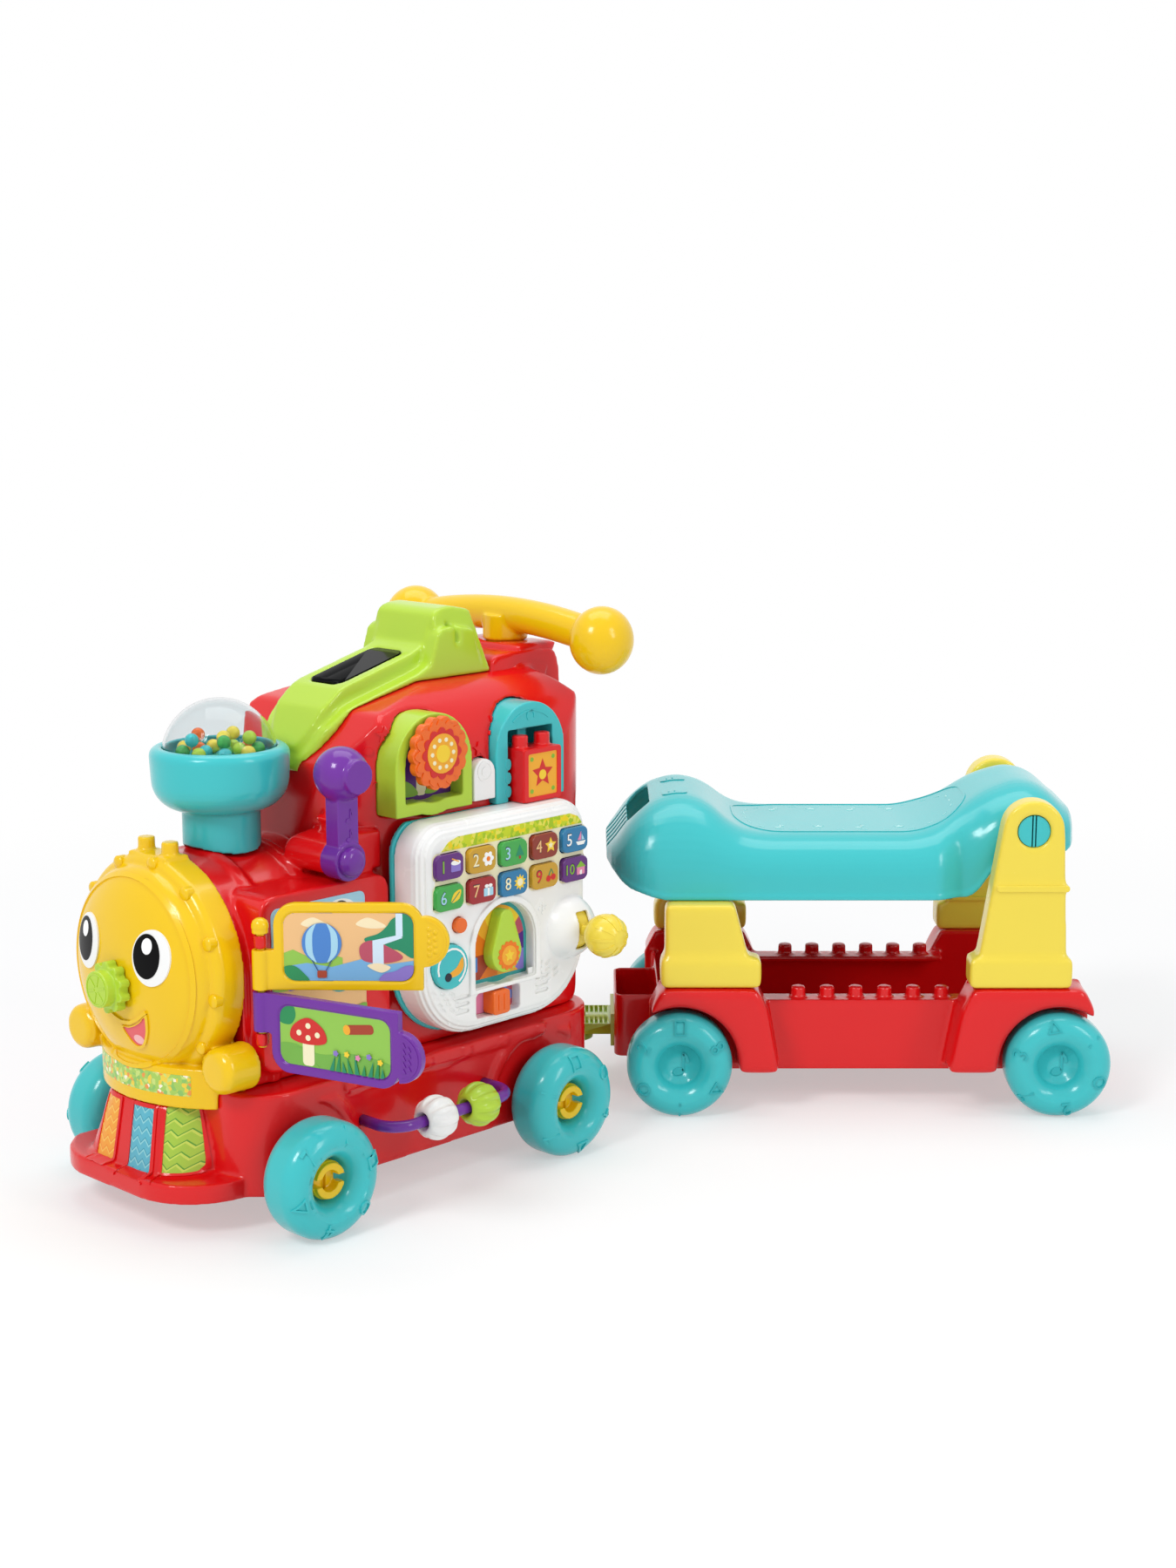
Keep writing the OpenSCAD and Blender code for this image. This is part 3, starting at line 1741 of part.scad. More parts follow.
module page_plate(z, h, open, up) {
  start = knuckle_d / 2 + page_start;
  translate([-hinge_at, -hinge_y, 0]) rotate([0, 0, -open]) difference() {
    across(-page_t / 2, page_t / 2) page_flat(z, h, up);
    for (y = [-page_t / 2 - over, page_t / 2 - page_deep]) across(y, y + page_deep + over)
      translate([start + page_rim, z + page_rim])
        round_box(page_l - start - 2 * page_rim, h - 2 * page_rim, page_round - page_rim);
  }
}

module page_knuckle(z, open) {
  translate([-hinge_at, -hinge_y, 0]) rotate([0, 0, -open]) difference() {
    union() {
      translate([0, 0, z]) cylinder(h = knuckle_h, r = knuckle_d / 2);
      translate([0, -page_t / 2, z]) cube([knuckle_d / 2 + page_start + over, page_t, knuckle_h]);
    }
    translate([0, 0, z - over]) cylinder(h = knuckle_h + 2 * over, r = hinge_d / 2 + run_gap);
  }
}

module page_upper() {
  on_loco() color(yellow) {
    page_plate(page_up_z, page_h_up, page_open_up, 1);
    page_knuckle(page_up_z, page_open_up);
  }
}

module page_lower() {
  on_loco() color(purple) {
    page_plate(page_z, page_h_low, page_open_low, -1);
    page_knuckle(page_low_top - knuckle_h, page_open_low);
  }
}

module hinge_post() {
  on_loco() color(yellow) translate([-hinge_at, -hinge_y, 0]) {
    translate([0, 0, page_low_top - knuckle_h - fit_gap - bracket_t])
      cylinder(h = page_gap + 2 * (knuckle_h + fit_gap + bracket_t) + over, r = hinge_d / 2);
    translate([0, 0, page_up_z + knuckle_h + fit_gap + bracket_t])
      cylinder(h = hinge_cap, r = hinge_d / 2 + wall);
  }
}

module bead_rod_line() {
  rod_r = bead_rod_d / 2;
  translate([-bead_front_at + bead_bend, -bead_y, bead_z]) rotate([0, 90, 0])
    cylinder(h = bead_front_at - bead_rear_at - 2 * bead_bend, r = rod_r);
  for (x = [-bead_front_at, -bead_rear_at]) translate([x, -low_half, bead_z]) lying(bead_y - bead_bend - low_half, rod_r);
  translate([-bead_front_at + bead_bend, -bead_y + bead_bend, bead_z]) rotate([0, 0, 180])
    rotate_extrude(angle = 90) translate([bead_bend, 0]) circle(rod_r, $fn = coarse);
  translate([-bead_rear_at - bead_bend, -bead_y + bead_bend, bead_z]) rotate([0, 0, 270])
    rotate_extrude(angle = 90) translate([bead_bend, 0]) circle(rod_r, $fn = coarse);
}

module bead_rod() {
  on_low() color(purple) bead_rod_line();
}

module bead(at) {
  translate([-at - bead_l / 2, -bead_y, bead_z]) rotate([0, 90, 0]) difference() {
    rotate_extrude($fn = fine) translate([bead_rod_d / 2 + bead_gap, 0])
      round_box(bead_d / 2 - bead_rod_d / 2 - bead_gap, bead_l, bead_r);
    for (k = [0 : grooves - 1]) rotate([0, 0, k * full / grooves])
      translate([bead_d / 2 + groove_r / 2, 0, -over])
        cylinder(h = bead_l + 2 * over, r = groove_r, $fn = coarse);
  }
}

module bead_front() {
  on_low() color(white) bead(bead_a);
}

module bead_rear() {
  on_low() color(green) bead(bead_b);
}

// Side lever

module side_lever() {
  on_loco() color(purple) translate([-horn_at, -horn_y, horn_z]) union() {
    translate([0, horn_t - over, 0]) lying(horn_t, horn_pin / 2 - run_gap);
    lying(horn_t, horn_r);
    translate([-horn_w / 2, -horn_t + over, 0]) cube([horn_w, horn_t - 2 * over, horn_up]);
    translate([0, -horn_t / 2, horn_up]) sphere(horn_ball, $fn = fine);
    translate([0, -horn_t / 2, horn_up]) lying(horn_ball, horn_disc / 2);
  }
}

// Wagon

module house_flat(x0, x1, foot) {
  polygon([[x0, house_top - house_slope], [x0 + house_slope / 2, house_top], [x1 - house_slope, house_top],
    [x1 - house_slope / 2, house_top - house_slope], [x1, house_z], [x1 - foot, house_z], [x0, house_z]]);
}

module wheel_well(x) {
  across(-house_half - over, -wagon_track + wheel_w / 2 + wall) translate([x, wheel_r])
    circle(wheel_r + well_gap, $fn = fine);
  across(-house_half - over, -wagon_track + wheel_w / 2 + wall)
    translate([x - wheel_r - well_gap, 0]) square([2 * (wheel_r + well_gap), wheel_r]);
}

module house_front() {
  across(-house_half, -tub_half + wall) house_flat(house_x, house_foot, house_slope);
}

module house_rear() {
  across(-house_half, -tub_half + wall) translate([house_foot_rear + house_end, 0]) mirror([1, 0])
    house_flat(house_foot_rear, house_end, house_slope);
}

module wagon_chassis() {
  on_wagon() color(red) difference() {
    union() {
      translate([tub_x, -tub_half, tub_z]) cube([tub_end - tub_x, 2 * tub_half, tub_top - tub_z]);
      both() {
        house_front();
        house_rear();
      }
      lifted(tub_z, bin_top - tub_z) translate([bin_x, -bin_half])
        round_box(tub_x - bin_x + 2 * bin_r, 2 * bin_half, bin_r);
    }
    translate([tub_x + wall, -tub_half + wall, tub_z + wall])
      cube([tub_end - tub_x - 2 * wall, 2 * (tub_half - wall), tub_top]);
    lifted(tub_z + wall, bin_top) translate([bin_x + wall, -bin_half + wall])
        round_box(tub_x - bin_x - wall, 2 * (bin_half - wall), bin_r - wall);
    both() {
      wheel_well(wagon_axle_x);
      wheel_well(rear_axle_w);
    }
    for (x = [wagon_axle_x, rear_axle_w]) translate([x, tub_half + over, wheel_r])
      lying(2 * (tub_half + over), axle_r + run_gap);
  }
  on_wagon() color(red) both() {
    translate([house_foot - house_slope, -tub_half, tub_top - stud_rail_t])
      cube([house_foot_rear - house_foot + 2 * house_slope, stud_rail, stud_rail_t]);
    for (k = [0 : studs - 1]) translate([stud_x + k * stud_pitch, -stud_row, tub_top - over])
      cylinder(h = stud_h + over, r = stud_d / 2);
  }
}

module hitch_bar() {
  on_wagon() color(green) difference() {
    union() {
      lifted(tongue_low, tongue_t) {
        translate([-hitch_ahead, 0]) circle(tongue_half);
        translate([-hitch_ahead, -tongue_half])
          square([bin_x + hitch_ahead - tongue_plate / 2, 2 * tongue_half]);
      }
      translate([bin_x - tongue_plate, -tongue_half - wall, tongue_z - tongue_plate_h / 2 - tongue_t / 2])
        cube([tongue_plate, 2 * (tongue_half + wall), tongue_plate_h]);
    }
    translate([-hitch_ahead, 0, tongue_low - over]) cylinder(h = tongue_t + 2 * over, r = pin_d / 2);
    for (k = [0 : tongue_slots - 1]) for (y = [-1, 1])
      translate([bin_x - tongue_plate - (k + 1) * tongue_pitch, y * tongue_half / 2 + y * wall, tongue_z])
        cube([tongue_slot, tongue_half - 3 * wall, 2 * tongue_deep], center = true);
  }
}

// Posts and seat

module front_posts() {
  on_wagon() color(pale_yellow) both() {
    across(-post_out, -post_in)
      polygon([[fpost_x, house_top], [fpost_end, house_top], [fpost_top, seat_z - fit_gap],
      [fpost_x, seat_z - fit_gap]]);
    across(-post_out - flange_out, -post_in) translate([fpost_x - flange_out, house_top])
      round_box(fpost_end - fpost_x + 2 * flange_out, flange_h, flange_out);
  }
}

module rear_post_flat() {
  difference() {
    hull() {
      translate([rpost_x, house_top]) square([rpost_end - rpost_x, wall]);
      translate([pivot_x, pivot_z]) circle(rpost_r);
    }
    translate([pivot_x, pivot_z]) circle(pivot_d / 2);
  }
}

module rear_posts() {
  on_wagon() color(pale_yellow) both() {
    across(-post_out, -post_in) rear_post_flat();
    across(-post_out - flange_out, -post_in) translate([rpost_x - flange_out, house_top])
      round_box(rpost_end - rpost_x + 2 * flange_out, flange_h, flange_out);
    across(-post_out - ring_out, -post_in) translate([pivot_x - rpost_r - ring_w, ring_z])
      round_box(2 * (rpost_r + ring_w), ring_w, ring_w / 2 - run_gap);
  }
}

module seat_side(inset) {
  offset(r = seat_round / 2) offset(delta = -seat_round / 2 - inset)
    shares(seat_shares, seat_front, seat_z, seat_len, seat_high);
}

module seat_plan(inset) {
  difference() {
    hull() {
      for (y = [-1, 1]) translate([seat_front + 2 * seat_round, y * (seat_half - 2 * seat_round)])
          circle(2 * seat_round - inset);
      translate([seat_neck - inset, -seat_half + inset]) square([inset + over, 2 * (seat_half - inset)]);
      for (y = [-1, 1]) translate([seat_front + seat_len - seat_round, y * (seat_rear_half - seat_round)])
          circle(seat_round - inset);
    }
    for (y = [-1, 1])
      translate([seat_neck - inset, y * (2 * seat_half + seat_rear_half - inset) - seat_half * y - seat_half])
        square([seat_len, 2 * seat_half]);
  }
}

module seat_section(inset) {
  half = seat_half - inset;
  polygon([for (p = [[half, 0], [half, flank_shares[0]], [seat_top_half - inset, flank_shares[1]],
    [seat_crown, flank_shares[2]], [-seat_crown, flank_shares[2]], [-seat_top_half + inset, flank_shares[1]],
    [-half, flank_shares[0]], [-half, 0]]) [p[0], seat_z - inset + p[1] * seat_high / flank_shares[2]]]);
}

module seat_block(inset) {
  intersection() {
    across(-seat_half, seat_half) seat_side(inset);
    lifted(seat_z, seat_high) seat_plan(inset);
    along(seat_front, seat_front + seat_len) seat_section(inset);
  }
}

module seat() {
  on_wagon() color(teal) difference() {
    union() {
      difference() {
        seat_block(0);
        seat_block(seat_wall);
        translate([seat_front + seat_open_at, -seat_rear_half + seat_wall, seat_z - over])
          cube([seat_open, 2 * (seat_rear_half - seat_wall), seat_wall + 2 * over]);
      }
      translate([pivot_x, post_out - wall, pivot_z]) lying(2 * (post_out - wall), pivot_d / 2 - run_gap);
    }
    translate([grip_x, 0, seat_z + seat_high / 2]) linear_extrude(seat_high)
      round_box_mid(grip_w, grip_l, grip_w / 2 - run_gap);
    for (k = [0 : fingers - 1])
      translate([seat_front, (k - (fingers - 1) / 2) * finger_pitch, seat_z + seat_high / 2])
        sphere(finger_r);
    both() translate([pivot_x - boss_slot / 2, -post_out, pivot_z - pivot_d])
      cube([boss_slot, 2 * wall, 2 * pivot_d]);
  }
}

chassis_shell();
upper_shell();
face_plate();
eyes();
nose_gear();
chimney_bowl();
popper_dome();
popper_balls();
top_hood();
hood_window();
push_handle();
window_frame();
light_button();
door_key();
block_niche();
letter_block();
control_panel();
panel_back();
printed_cards();
sound_unit();
draw_bar();
battery_pack();
battery_door();
shell_screws();
axle_hubs();
loco_wheel_front_left();
loco_wheel_front_right();
loco_wheel_rear_left();
loco_wheel_rear_right();
side_lever();
number_key_1();
number_key_2();
number_key_3();
number_key_4();
number_key_5();
number_key_6();
number_key_7();
number_key_8();
number_key_9();
number_key_10();
music_button();
melody_button();
dial_pointer();
slide_switch();
ball_lever();
hinge_post();
page_upper();
page_lower();
bead_rod();
bead_front();
bead_rear();
wagon_chassis();
hitch_bar();
front_posts();
rear_posts();
seat();
wagon_wheels_front();
wagon_wheels_rear();
wagon_axle_front();
wagon_axle_rear();
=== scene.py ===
import json
import math

import bmesh
import bpy
from mathutils import Matrix, Vector
from mathutils.bvhtree import BVHTree
from mathutils.geometry import delaunay_2d_cdt


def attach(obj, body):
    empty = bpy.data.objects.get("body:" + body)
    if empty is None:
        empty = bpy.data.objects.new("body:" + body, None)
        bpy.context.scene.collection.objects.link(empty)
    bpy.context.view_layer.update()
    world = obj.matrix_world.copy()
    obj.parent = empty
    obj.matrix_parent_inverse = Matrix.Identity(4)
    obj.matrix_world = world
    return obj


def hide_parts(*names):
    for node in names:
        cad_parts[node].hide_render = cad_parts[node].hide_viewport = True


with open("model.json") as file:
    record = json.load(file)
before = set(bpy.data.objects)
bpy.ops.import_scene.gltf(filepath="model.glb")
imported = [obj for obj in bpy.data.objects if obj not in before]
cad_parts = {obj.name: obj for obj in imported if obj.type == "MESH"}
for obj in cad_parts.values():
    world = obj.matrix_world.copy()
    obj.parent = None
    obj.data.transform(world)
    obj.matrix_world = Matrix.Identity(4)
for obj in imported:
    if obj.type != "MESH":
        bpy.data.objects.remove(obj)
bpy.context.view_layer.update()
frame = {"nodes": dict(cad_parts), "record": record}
NODES = frame["nodes"]
BODY_OF = {n: b for b, ns in frame["record"]["behaviour"]["bodies"].items() for n in ns}
scene = bpy.context.scene

# Placing: lengths below are millimetres in the locomotive's, lower shell's or wagon's own frame
MM = 0.001
TURN = math.radians(46.3)


def shift(x, y, z):
    return Matrix.Translation((x * MM, y * MM, z * MM))


LOCO = shift(-24.8, 164.4, 0) @ Matrix.Rotation(TURN, 4, "Z")
LOW = LOCO @ shift(0, -13, 0)
WAGON = shift(-14.3, 164.4, 0)
HALF_TURN, OVER = (Matrix.Rotation(math.pi, 4, axis) for axis in "ZY")


def on_side(b, base=LOCO):
    """Plane seen from the photo's side: first direction to the rear, second up."""
    return base @ Matrix(((1, 0, 0, 0), (0, 0, -1, b * MM), (0, 1, 0, 0), (0, 0, 0, 1)))


def facing(turn, a=0.0, b=0.0):
    """Upright plane that looks ahead at 0 degrees and to the photo's side at 90."""
    t = math.radians(turn)
    c, s = math.cos(t), math.sin(t)
    return LOCO @ Matrix(((s, 0, -c, a * MM), (-c, 0, -s, b * MM), (0, 1, 0, 0), (0, 0, 0, 1)))


HINGE = (-440, -105)


def on_page(turn, y):
    """Plane of an open page, from its hinge outwards."""
    hinge = LOCO @ shift(*HINGE, 0) @ Matrix.Rotation(-math.radians(turn), 4, "Z")
    return on_side(y, hinge)


AHEAD = facing(0, -600)
BESIDE, FAR_SIDE = (on_side(-260, base) for base in (LOCO, LOCO @ HALF_TURN))

# Faces that details stand on: off the middle plane, along the boiler, and off a page
PANEL_FACE, KEY_FACE, KNOB_FACE, BLOCK_FACE = -126, -130, -167, -112
NICHE_FACE, CARD_FACE, BOSS_FACE, SADDLE_FACE = -99, -95, -104, -42
PIN_FACE, POST_FACE, POST_BACK = -111, -114, 88
BUMP_X, WALL_X = -466, -437
PAGE_FACE, TAB_FACE = 2, 3.5


def link(ob):
    scene.collection.objects.link(ob)
    return ob


# Camera, light and floor

SENSOR, FOCAL_PX, PHOTO_PX = 36, 2825.4, 1800
CAMERA_AT, CAMERA_DIP = (-0.0143, -1.9644, 0.6744), 10.855
FLOOR_HALF = 12.0


def make_camera():
    cam = bpy.data.cameras.new("camera")
    cam.sensor_fit = "VERTICAL"
    cam.sensor_height = SENSOR
    cam.lens = SENSOR * FOCAL_PX / PHOTO_PX
    ob = link(bpy.data.objects.new("camera", cam))
    ob.location = CAMERA_AT
    ob.rotation_euler = (math.radians(90 - CAMERA_DIP), 0, 0)
    scene.camera = ob


def area_light(name, place, target, size, power):
    lamp = bpy.data.lights.new(name, "AREA")
    lamp.shape = "RECTANGLE"
    lamp.size, lamp.size_y = size
    lamp.energy = power
    ob = link(bpy.data.objects.new(name, lamp))
    ob.location = place
    ob.rotation_euler = (Vector(target) - Vector(place)).to_track_quat("-Z", "Y").to_euler()


class Shader:
    """Node tree of a material or the world; an input is a constant or another node's output."""

    def __init__(self, owner):
        owner.use_nodes = True
        self.nodes, self.links = owner.node_tree.nodes, owner.node_tree.links

    def feed(self, node, *inputs, **named):
        """Fills sockets in order or by name, where an underscore stands for a space."""
        for key, value in [*enumerate(inputs), *named.items()]:
            socket = node.inputs[key.replace("_", " ") if isinstance(key, str) else key]
            if isinstance(value, bpy.types.NodeSocket):
                self.links.new(value, socket)
            else:
                socket.default_value = value

    def add(self, kind, *inputs, out=0, mode=None, **named):
        """Output of a new node; mode is the name and value of one of its settings."""
        node = self.nodes.new("ShaderNode" + kind)
        if mode:
            setattr(node, *mode)
        self.feed(node, *inputs, **named)
        return node.outputs[out] if len(node.outputs) else None

    def maths(self, kind, *inputs):
        return self.add("Math", *inputs, mode=("operation", kind))

    def where(self):
        return self.add("TexCoord", out="Object")

    def surface(self, **named):
        self.feed(self.nodes["Principled BSDF"], **named)


def shown_ray(tree):
    """1 on the rays that show the background: camera, glossy and transmission."""
    path = tree.nodes.new("ShaderNodeLightPath").outputs
    shown = tree.maths("MAXIMUM", path["Is Camera Ray"], path["Is Glossy Ray"])
    return tree.maths("MAXIMUM", shown, path["Is Transmission Ray"])


def make_world():
    scene.world = bpy.data.worlds.new("studio")
    tree = Shader(scene.world)
    tree.nodes.clear()
    seen = tree.add("Background", Color=(1, 1, 1, 1), Strength=1.0)
    soft = tree.add("Background", Color=(0.95, 0.97, 1, 1), Strength=0.55)
    tree.add("OutputWorld", tree.add("MixShader", shown_ray(tree), soft, seen))


def make_floor():
    """White floor that fades into the background away from the train."""
    mat = bpy.data.materials.new("floor_white")
    tree = Shader(mat)
    tree.nodes.clear()
    diffuse = tree.add("BsdfDiffuse", Color=(0.93, 0.93, 0.93, 1))
    glow = tree.add("Emission", Color=(1, 1, 1, 1))
    far = tree.add("VectorMath", tree.where(), mode=("operation", "LENGTH"), out="Value")
    fade = tree.add("MapRange", far, mode=("interpolation_type", "SMOOTHSTEP"),
                    From_Min=0.55, From_Max=1.5, To_Min=0.45, To_Max=1.0)
    share = tree.maths("MULTIPLY", shown_ray(tree), fade)
    tree.add("OutputMaterial", tree.add("MixShader", share, diffuse, glow))
    me = bpy.data.meshes.new("floor")
    s = FLOOR_HALF
    me.from_pydata([(-s, -s, 0), (s, -s, 0), (s, s, 0), (-s, s, 0)], [], [(0, 1, 2, 3)])
    me.materials.append(mat)
    ob = link(bpy.data.objects.new("floor", me))


make_camera()
make_world()
make_floor()
area_light("key", (-1.6, -2.2, 2.6), (-0.1, 0, 0.2), (0.9, 0.9), 47)
area_light("fill", (2.2, -1.6, 1.6), (0.1, 0, 0.2), (0.6, 1.4), 16)
area_light("top", (0.0, 0.5, 2.8), (0, 0, 0.2), (2.4, 1.6), 28)


# Materials

def lin(hexa):
    def one(c):
        c = c / 255
        return c / 12.92 if c <= 0.04045 else ((c + 0.055) / 1.055) ** 2.4
    h = hexa.lstrip("#")
    return tuple(one(int(h[i:i + 2], 16)) for i in (0, 2, 4))


FLOW_SCALE, POLISH_SCALE, PEEL_DEPTH = 14.0, 60.0, 0.0006


def plastic(name, colour, rough=0.2, mottle=0.015, peel=0.05, coat=0.22, spec=0.3, grain=420.0):
    """Moulded plastic: slight flow mottling, uneven polish and the fine peel of a mould."""
    mat = bpy.data.materials.new(name)
    tree = Shader(mat)
    where = tree.where()

    def noise(scale, detail):
        return tree.add("TexNoise", out="Fac", Vector=where, Scale=scale, Detail=detail)

    low, high = ((*[min(1, c * (1 + way * mottle)) for c in lin(colour)], 1) for way in (-1, 1))
    flow = tree.add("Mix", mode=("data_type", "RGBA"), out="Result", A=low, B=high,
                    Factor=noise(FLOW_SCALE, 5.0))
    polish = tree.add("MapRange", noise(POLISH_SCALE, 3.0), To_Min=rough * 0.75, To_Max=rough * 1.3)
    bump = tree.add("Bump", Strength=peel, Distance=PEEL_DEPTH, Height=noise(grain, 2.0))
    tree.surface(Base_Color=flow, Roughness=polish, Normal=bump, Coat_Weight=coat, Coat_Roughness=0.08,
                 Specular_IOR_Level=spec)
    return mat


RED = plastic("red_plastic", "#de1115")
YELLOW = plastic("yellow_plastic", "#f0c40a")
PALE = plastic("pale_yellow_plastic", "#f0d84a", rough=0.24)
TEAL = plastic("teal_plastic", "#3cbfc3")
LIME = plastic("lime_plastic", "#b5d63c", rough=0.22)
PURPLE = plastic("purple_plastic", "#6f2a9c", rough=0.18)
WHITE = plastic("white_plastic", "#f4f4f2", rough=0.25)
ORANGE = plastic("orange_plastic", "#ee6a1c")
BLACK = plastic("black_gloss", "#050608", rough=0.12, peel=0.01, coat=0.0, spec=0.06)
GREY = plastic("grey_works", "#5a5f63", rough=0.5)
STEEL = plastic("steel_axle", "#b8babd", rough=0.3)
Shader(STEEL).surface(Metallic=1.0)
KEY_HUES = {"purple": "#5d1f78", "gold": "#c99a1e", "green": "#3ca648", "brown": "#8c2d17",
            "blue": "#1f78a8", "red": "#a01a20"}
KEY_MATS = {k: plastic("key_" + k, v, rough=0.14, coat=0.3, mottle=0.08) for k, v in KEY_HUES.items()}
CLEAR = bpy.data.materials.new("clear_dome")
Shader(CLEAR).surface(Base_Color=(0.84, 0.87, 0.88, 1), Roughness=0.03, Transmission_Weight=1.0, IOR=1.2)


def ink(name, colour):
    """Printed colour under a clear varnish; also the painted shade of the wagon's wheel signs."""
    return plastic(name, colour, rough=0.3, mottle=0.03, peel=0.02, coat=0.08, spec=0.2, grain=900.0)


def paint_ramp(tree, value, stops):
    """Steps of flat colour along a value, led to the material's colour."""
    ramp = tree.nodes.new("ShaderNodeValToRGB")
    steps = ramp.color_ramp
    steps.interpolation = "CONSTANT"
    while len(steps.elements) < len(stops):
        steps.elements.new(0.5)
    for step, (at, colour) in zip(steps.elements, stops):
        step.position = at
        step.color = (*lin(colour), 1)
    tree.feed(ramp, value)
    tree.surface(Base_Color=ramp.outputs["Color"])


def mosaic(name, stops, scale):
    """Print of small tiles in several colours."""
    mat = ink(name, stops[0][1])
    tree = Shader(mat)
    cells = tree.add("TexVoronoi", out="Color", Vector=tree.where(), Scale=scale)
    paint_ramp(tree, tree.add("SeparateColor", cells, out="Red"), stops)
    return mat


ZIGZAG_HALF, ZIGZAG_STEP = 0.0045, 0.0078


def chevrons(name, plain, light, dark):
    """Zigzag print in three tints on an upright panel of the cowcatcher."""
    mat = ink(name, plain)
    tree = Shader(mat)
    where = tree.where()
    sideways = (math.sin(TURN), -math.cos(TURN), 0)
    across = tree.add("VectorMath", where, sideways, mode=("operation", "DOT_PRODUCT"), out="Value")
    zigzag = tree.maths("PINGPONG", across, ZIGZAG_HALF)
    height = tree.maths("ADD", tree.add("SeparateXYZ", where, out="Z"), zigzag)
    bands = tree.maths("FRACT", tree.maths("DIVIDE", height, ZIGZAG_STEP))
    paint_ramp(tree, bands, [(0, plain), (0.4, light), (0.6, dark), (0.72, plain)])
    return mat


PUPIL = plastic("eye_black", "#050506", rough=0.12, mottle=0.2, peel=0.01, coat=0.0, spec=0.1)
SHINE = ink("eye_shine", "#ffffff")
MOUTH = ink("mouth_pink", "#e4646a")
TONGUE = ink("tongue_pale", "#f3b6b8")
BIB = mosaic("bib_dots", [(0, "#a9cf62"), (0.35, "#c9df7e"), (0.6, "#8fc46a"), (0.75, "#f0d24c"),
                          (0.88, "#ee9a4e"), (0.95, "#fbf3d8")], 320)
TILES = mosaic("header_tiles", [(0, "#c9d628"), (0.3, "#e8e25a"), (0.55, "#a6c623"), (0.8, "#f2d61f")], 300)
CHEV_FAR = chevrons("chevron_orange", "#f2a43c", "#f7c65a", "#e9862e")
CHEV_MID = chevrons("chevron_blue", "#5fb4c8", "#8fd0d6", "#3f96ae")
CHEV_NEAR = chevrons("chevron_lime", "#a5c84a", "#c6da5e", "#5f9e3c")
INKS = {n: ink("print_" + n, c) for n, c in {
    "cream": "#f3ecc6", "peach": "#eebf86", "cloud": "#f7e6bd", "sky": "#a8d6ea", "lake": "#79b2de",
    "fall": "#d4e8f6", "pine": "#2c8d67", "teal": "#3fa7a9", "navy": "#2f4a86", "blue": "#4f86cc",
    "meadow": "#93c653", "grass": "#2f8f58", "hill": "#77b24c", "rock": "#bd5468", "lilac": "#8d79c9",
    "violet": "#5c2a86", "orange": "#ef7d22", "amber": "#f3ad35", "yellow": "#f6d03a", "red": "#d2322f",
    "rust": "#a8452f", "pink": "#e58ab0", "white": "#f8f8f4", "dark": "#2a2f3c", "leaf": "#86b83a"}.items()}


# Building pieces

# Dressed piece and ray tree of each node, and how deep laid sheets reach into a piece
LOOK, TREES = {}, {}
SINK = 0.5


def flatten(ob):
    """Applies every modifier of the object to its mesh."""
    deps = bpy.context.evaluated_depsgraph_get()
    me = bpy.data.meshes.new_from_object(ob.evaluated_get(deps))
    ob.modifiers.clear()
    ob.data = me


def shade(ob, angle=35):
    me = ob.data
    me.polygons.foreach_set("use_smooth", [True] * len(me.polygons))
    me.set_sharp_from_angle(angle=math.radians(angle))


def edit_mesh(me, change):
    bm = bmesh.new()
    bm.from_mesh(me)
    change(bm)
    bm.to_mesh(me)
    bm.free()


def welded_copy(node, name):
    me = NODES[node].data.copy()
    edit_mesh(me, lambda bm: bmesh.ops.remove_doubles(bm, verts=bm.verts, dist=2e-6))
    me.materials.clear()
    return link(bpy.data.objects.new(name, me))


def rides(ob, node):
    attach(ob, BODY_OF[node])


def stands_for(ob, node, mat):
    ob.data.materials.clear()
    ob.data.materials.append(mat)
    rides(ob, node)
    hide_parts(node)
    LOOK[node] = ob


def soften(ob, voxel, rounds, keep, more=None):
    """Rounds the edges of a closed mesh.

    More is a frame, a number of extra rounds and a test of the points that get them.
    """
    remesh = ob.modifiers.new("remesh", "REMESH")
    remesh.mode = "VOXEL"
    remesh.voxel_size = voxel * MM
    smooth = ob.modifiers.new("smooth", "SMOOTH")
    smooth.iterations = rounds
    if more:
        flatten(ob)
        base, extra, test = more
        turn = base.inverted()
        region = ob.vertex_groups.new(name="region")
        region.add([v.index for v in ob.data.vertices if test(turn @ v.co / MM)], 1, "REPLACE")
        smooth = ob.modifiers.new("smooth", "SMOOTH")
        smooth.iterations = extra
        smooth.vertex_group = "region"
    thin = ob.modifiers.new("thin", "DECIMATE")
    thin.ratio = keep
    flatten(ob)
    shade(ob, 70)
    even = ob.modifiers.new("even", "WEIGHTED_NORMAL")
    even.keep_sharp = True
    even.weight = 80


def carve(ob, tool):
    """Cuts the tool out of the object and drops the tool."""
    step = ob.modifiers.new("carve", "BOOLEAN")
    step.object = tool
    step.solver = "EXACT"
    step.use_self = True
    flatten(ob)
    bpy.data.objects.remove(tool)


def join(ob, adds):
    """Puts more closed shapes into a mesh that is remeshed next."""
    tool = adds.made(ob.name + "_adds")
    edit_mesh(ob.data, lambda bm: bm.from_mesh(tool.data))
    bpy.data.objects.remove(tool)


def moulded(node, mat, voxel=1.5, rounds=8, keep=0.2, cuts=None, more=None, adds=None):
    """A copy of the solid with the soft edges of a moulding."""
    ob = welded_copy(node, node + "_look")
    if cuts:
        carve(ob, cuts.made(node + "_cuts"))
    if adds:
        join(ob, adds)
    soften(ob, voxel, rounds, keep, more)
    stands_for(ob, node, mat)


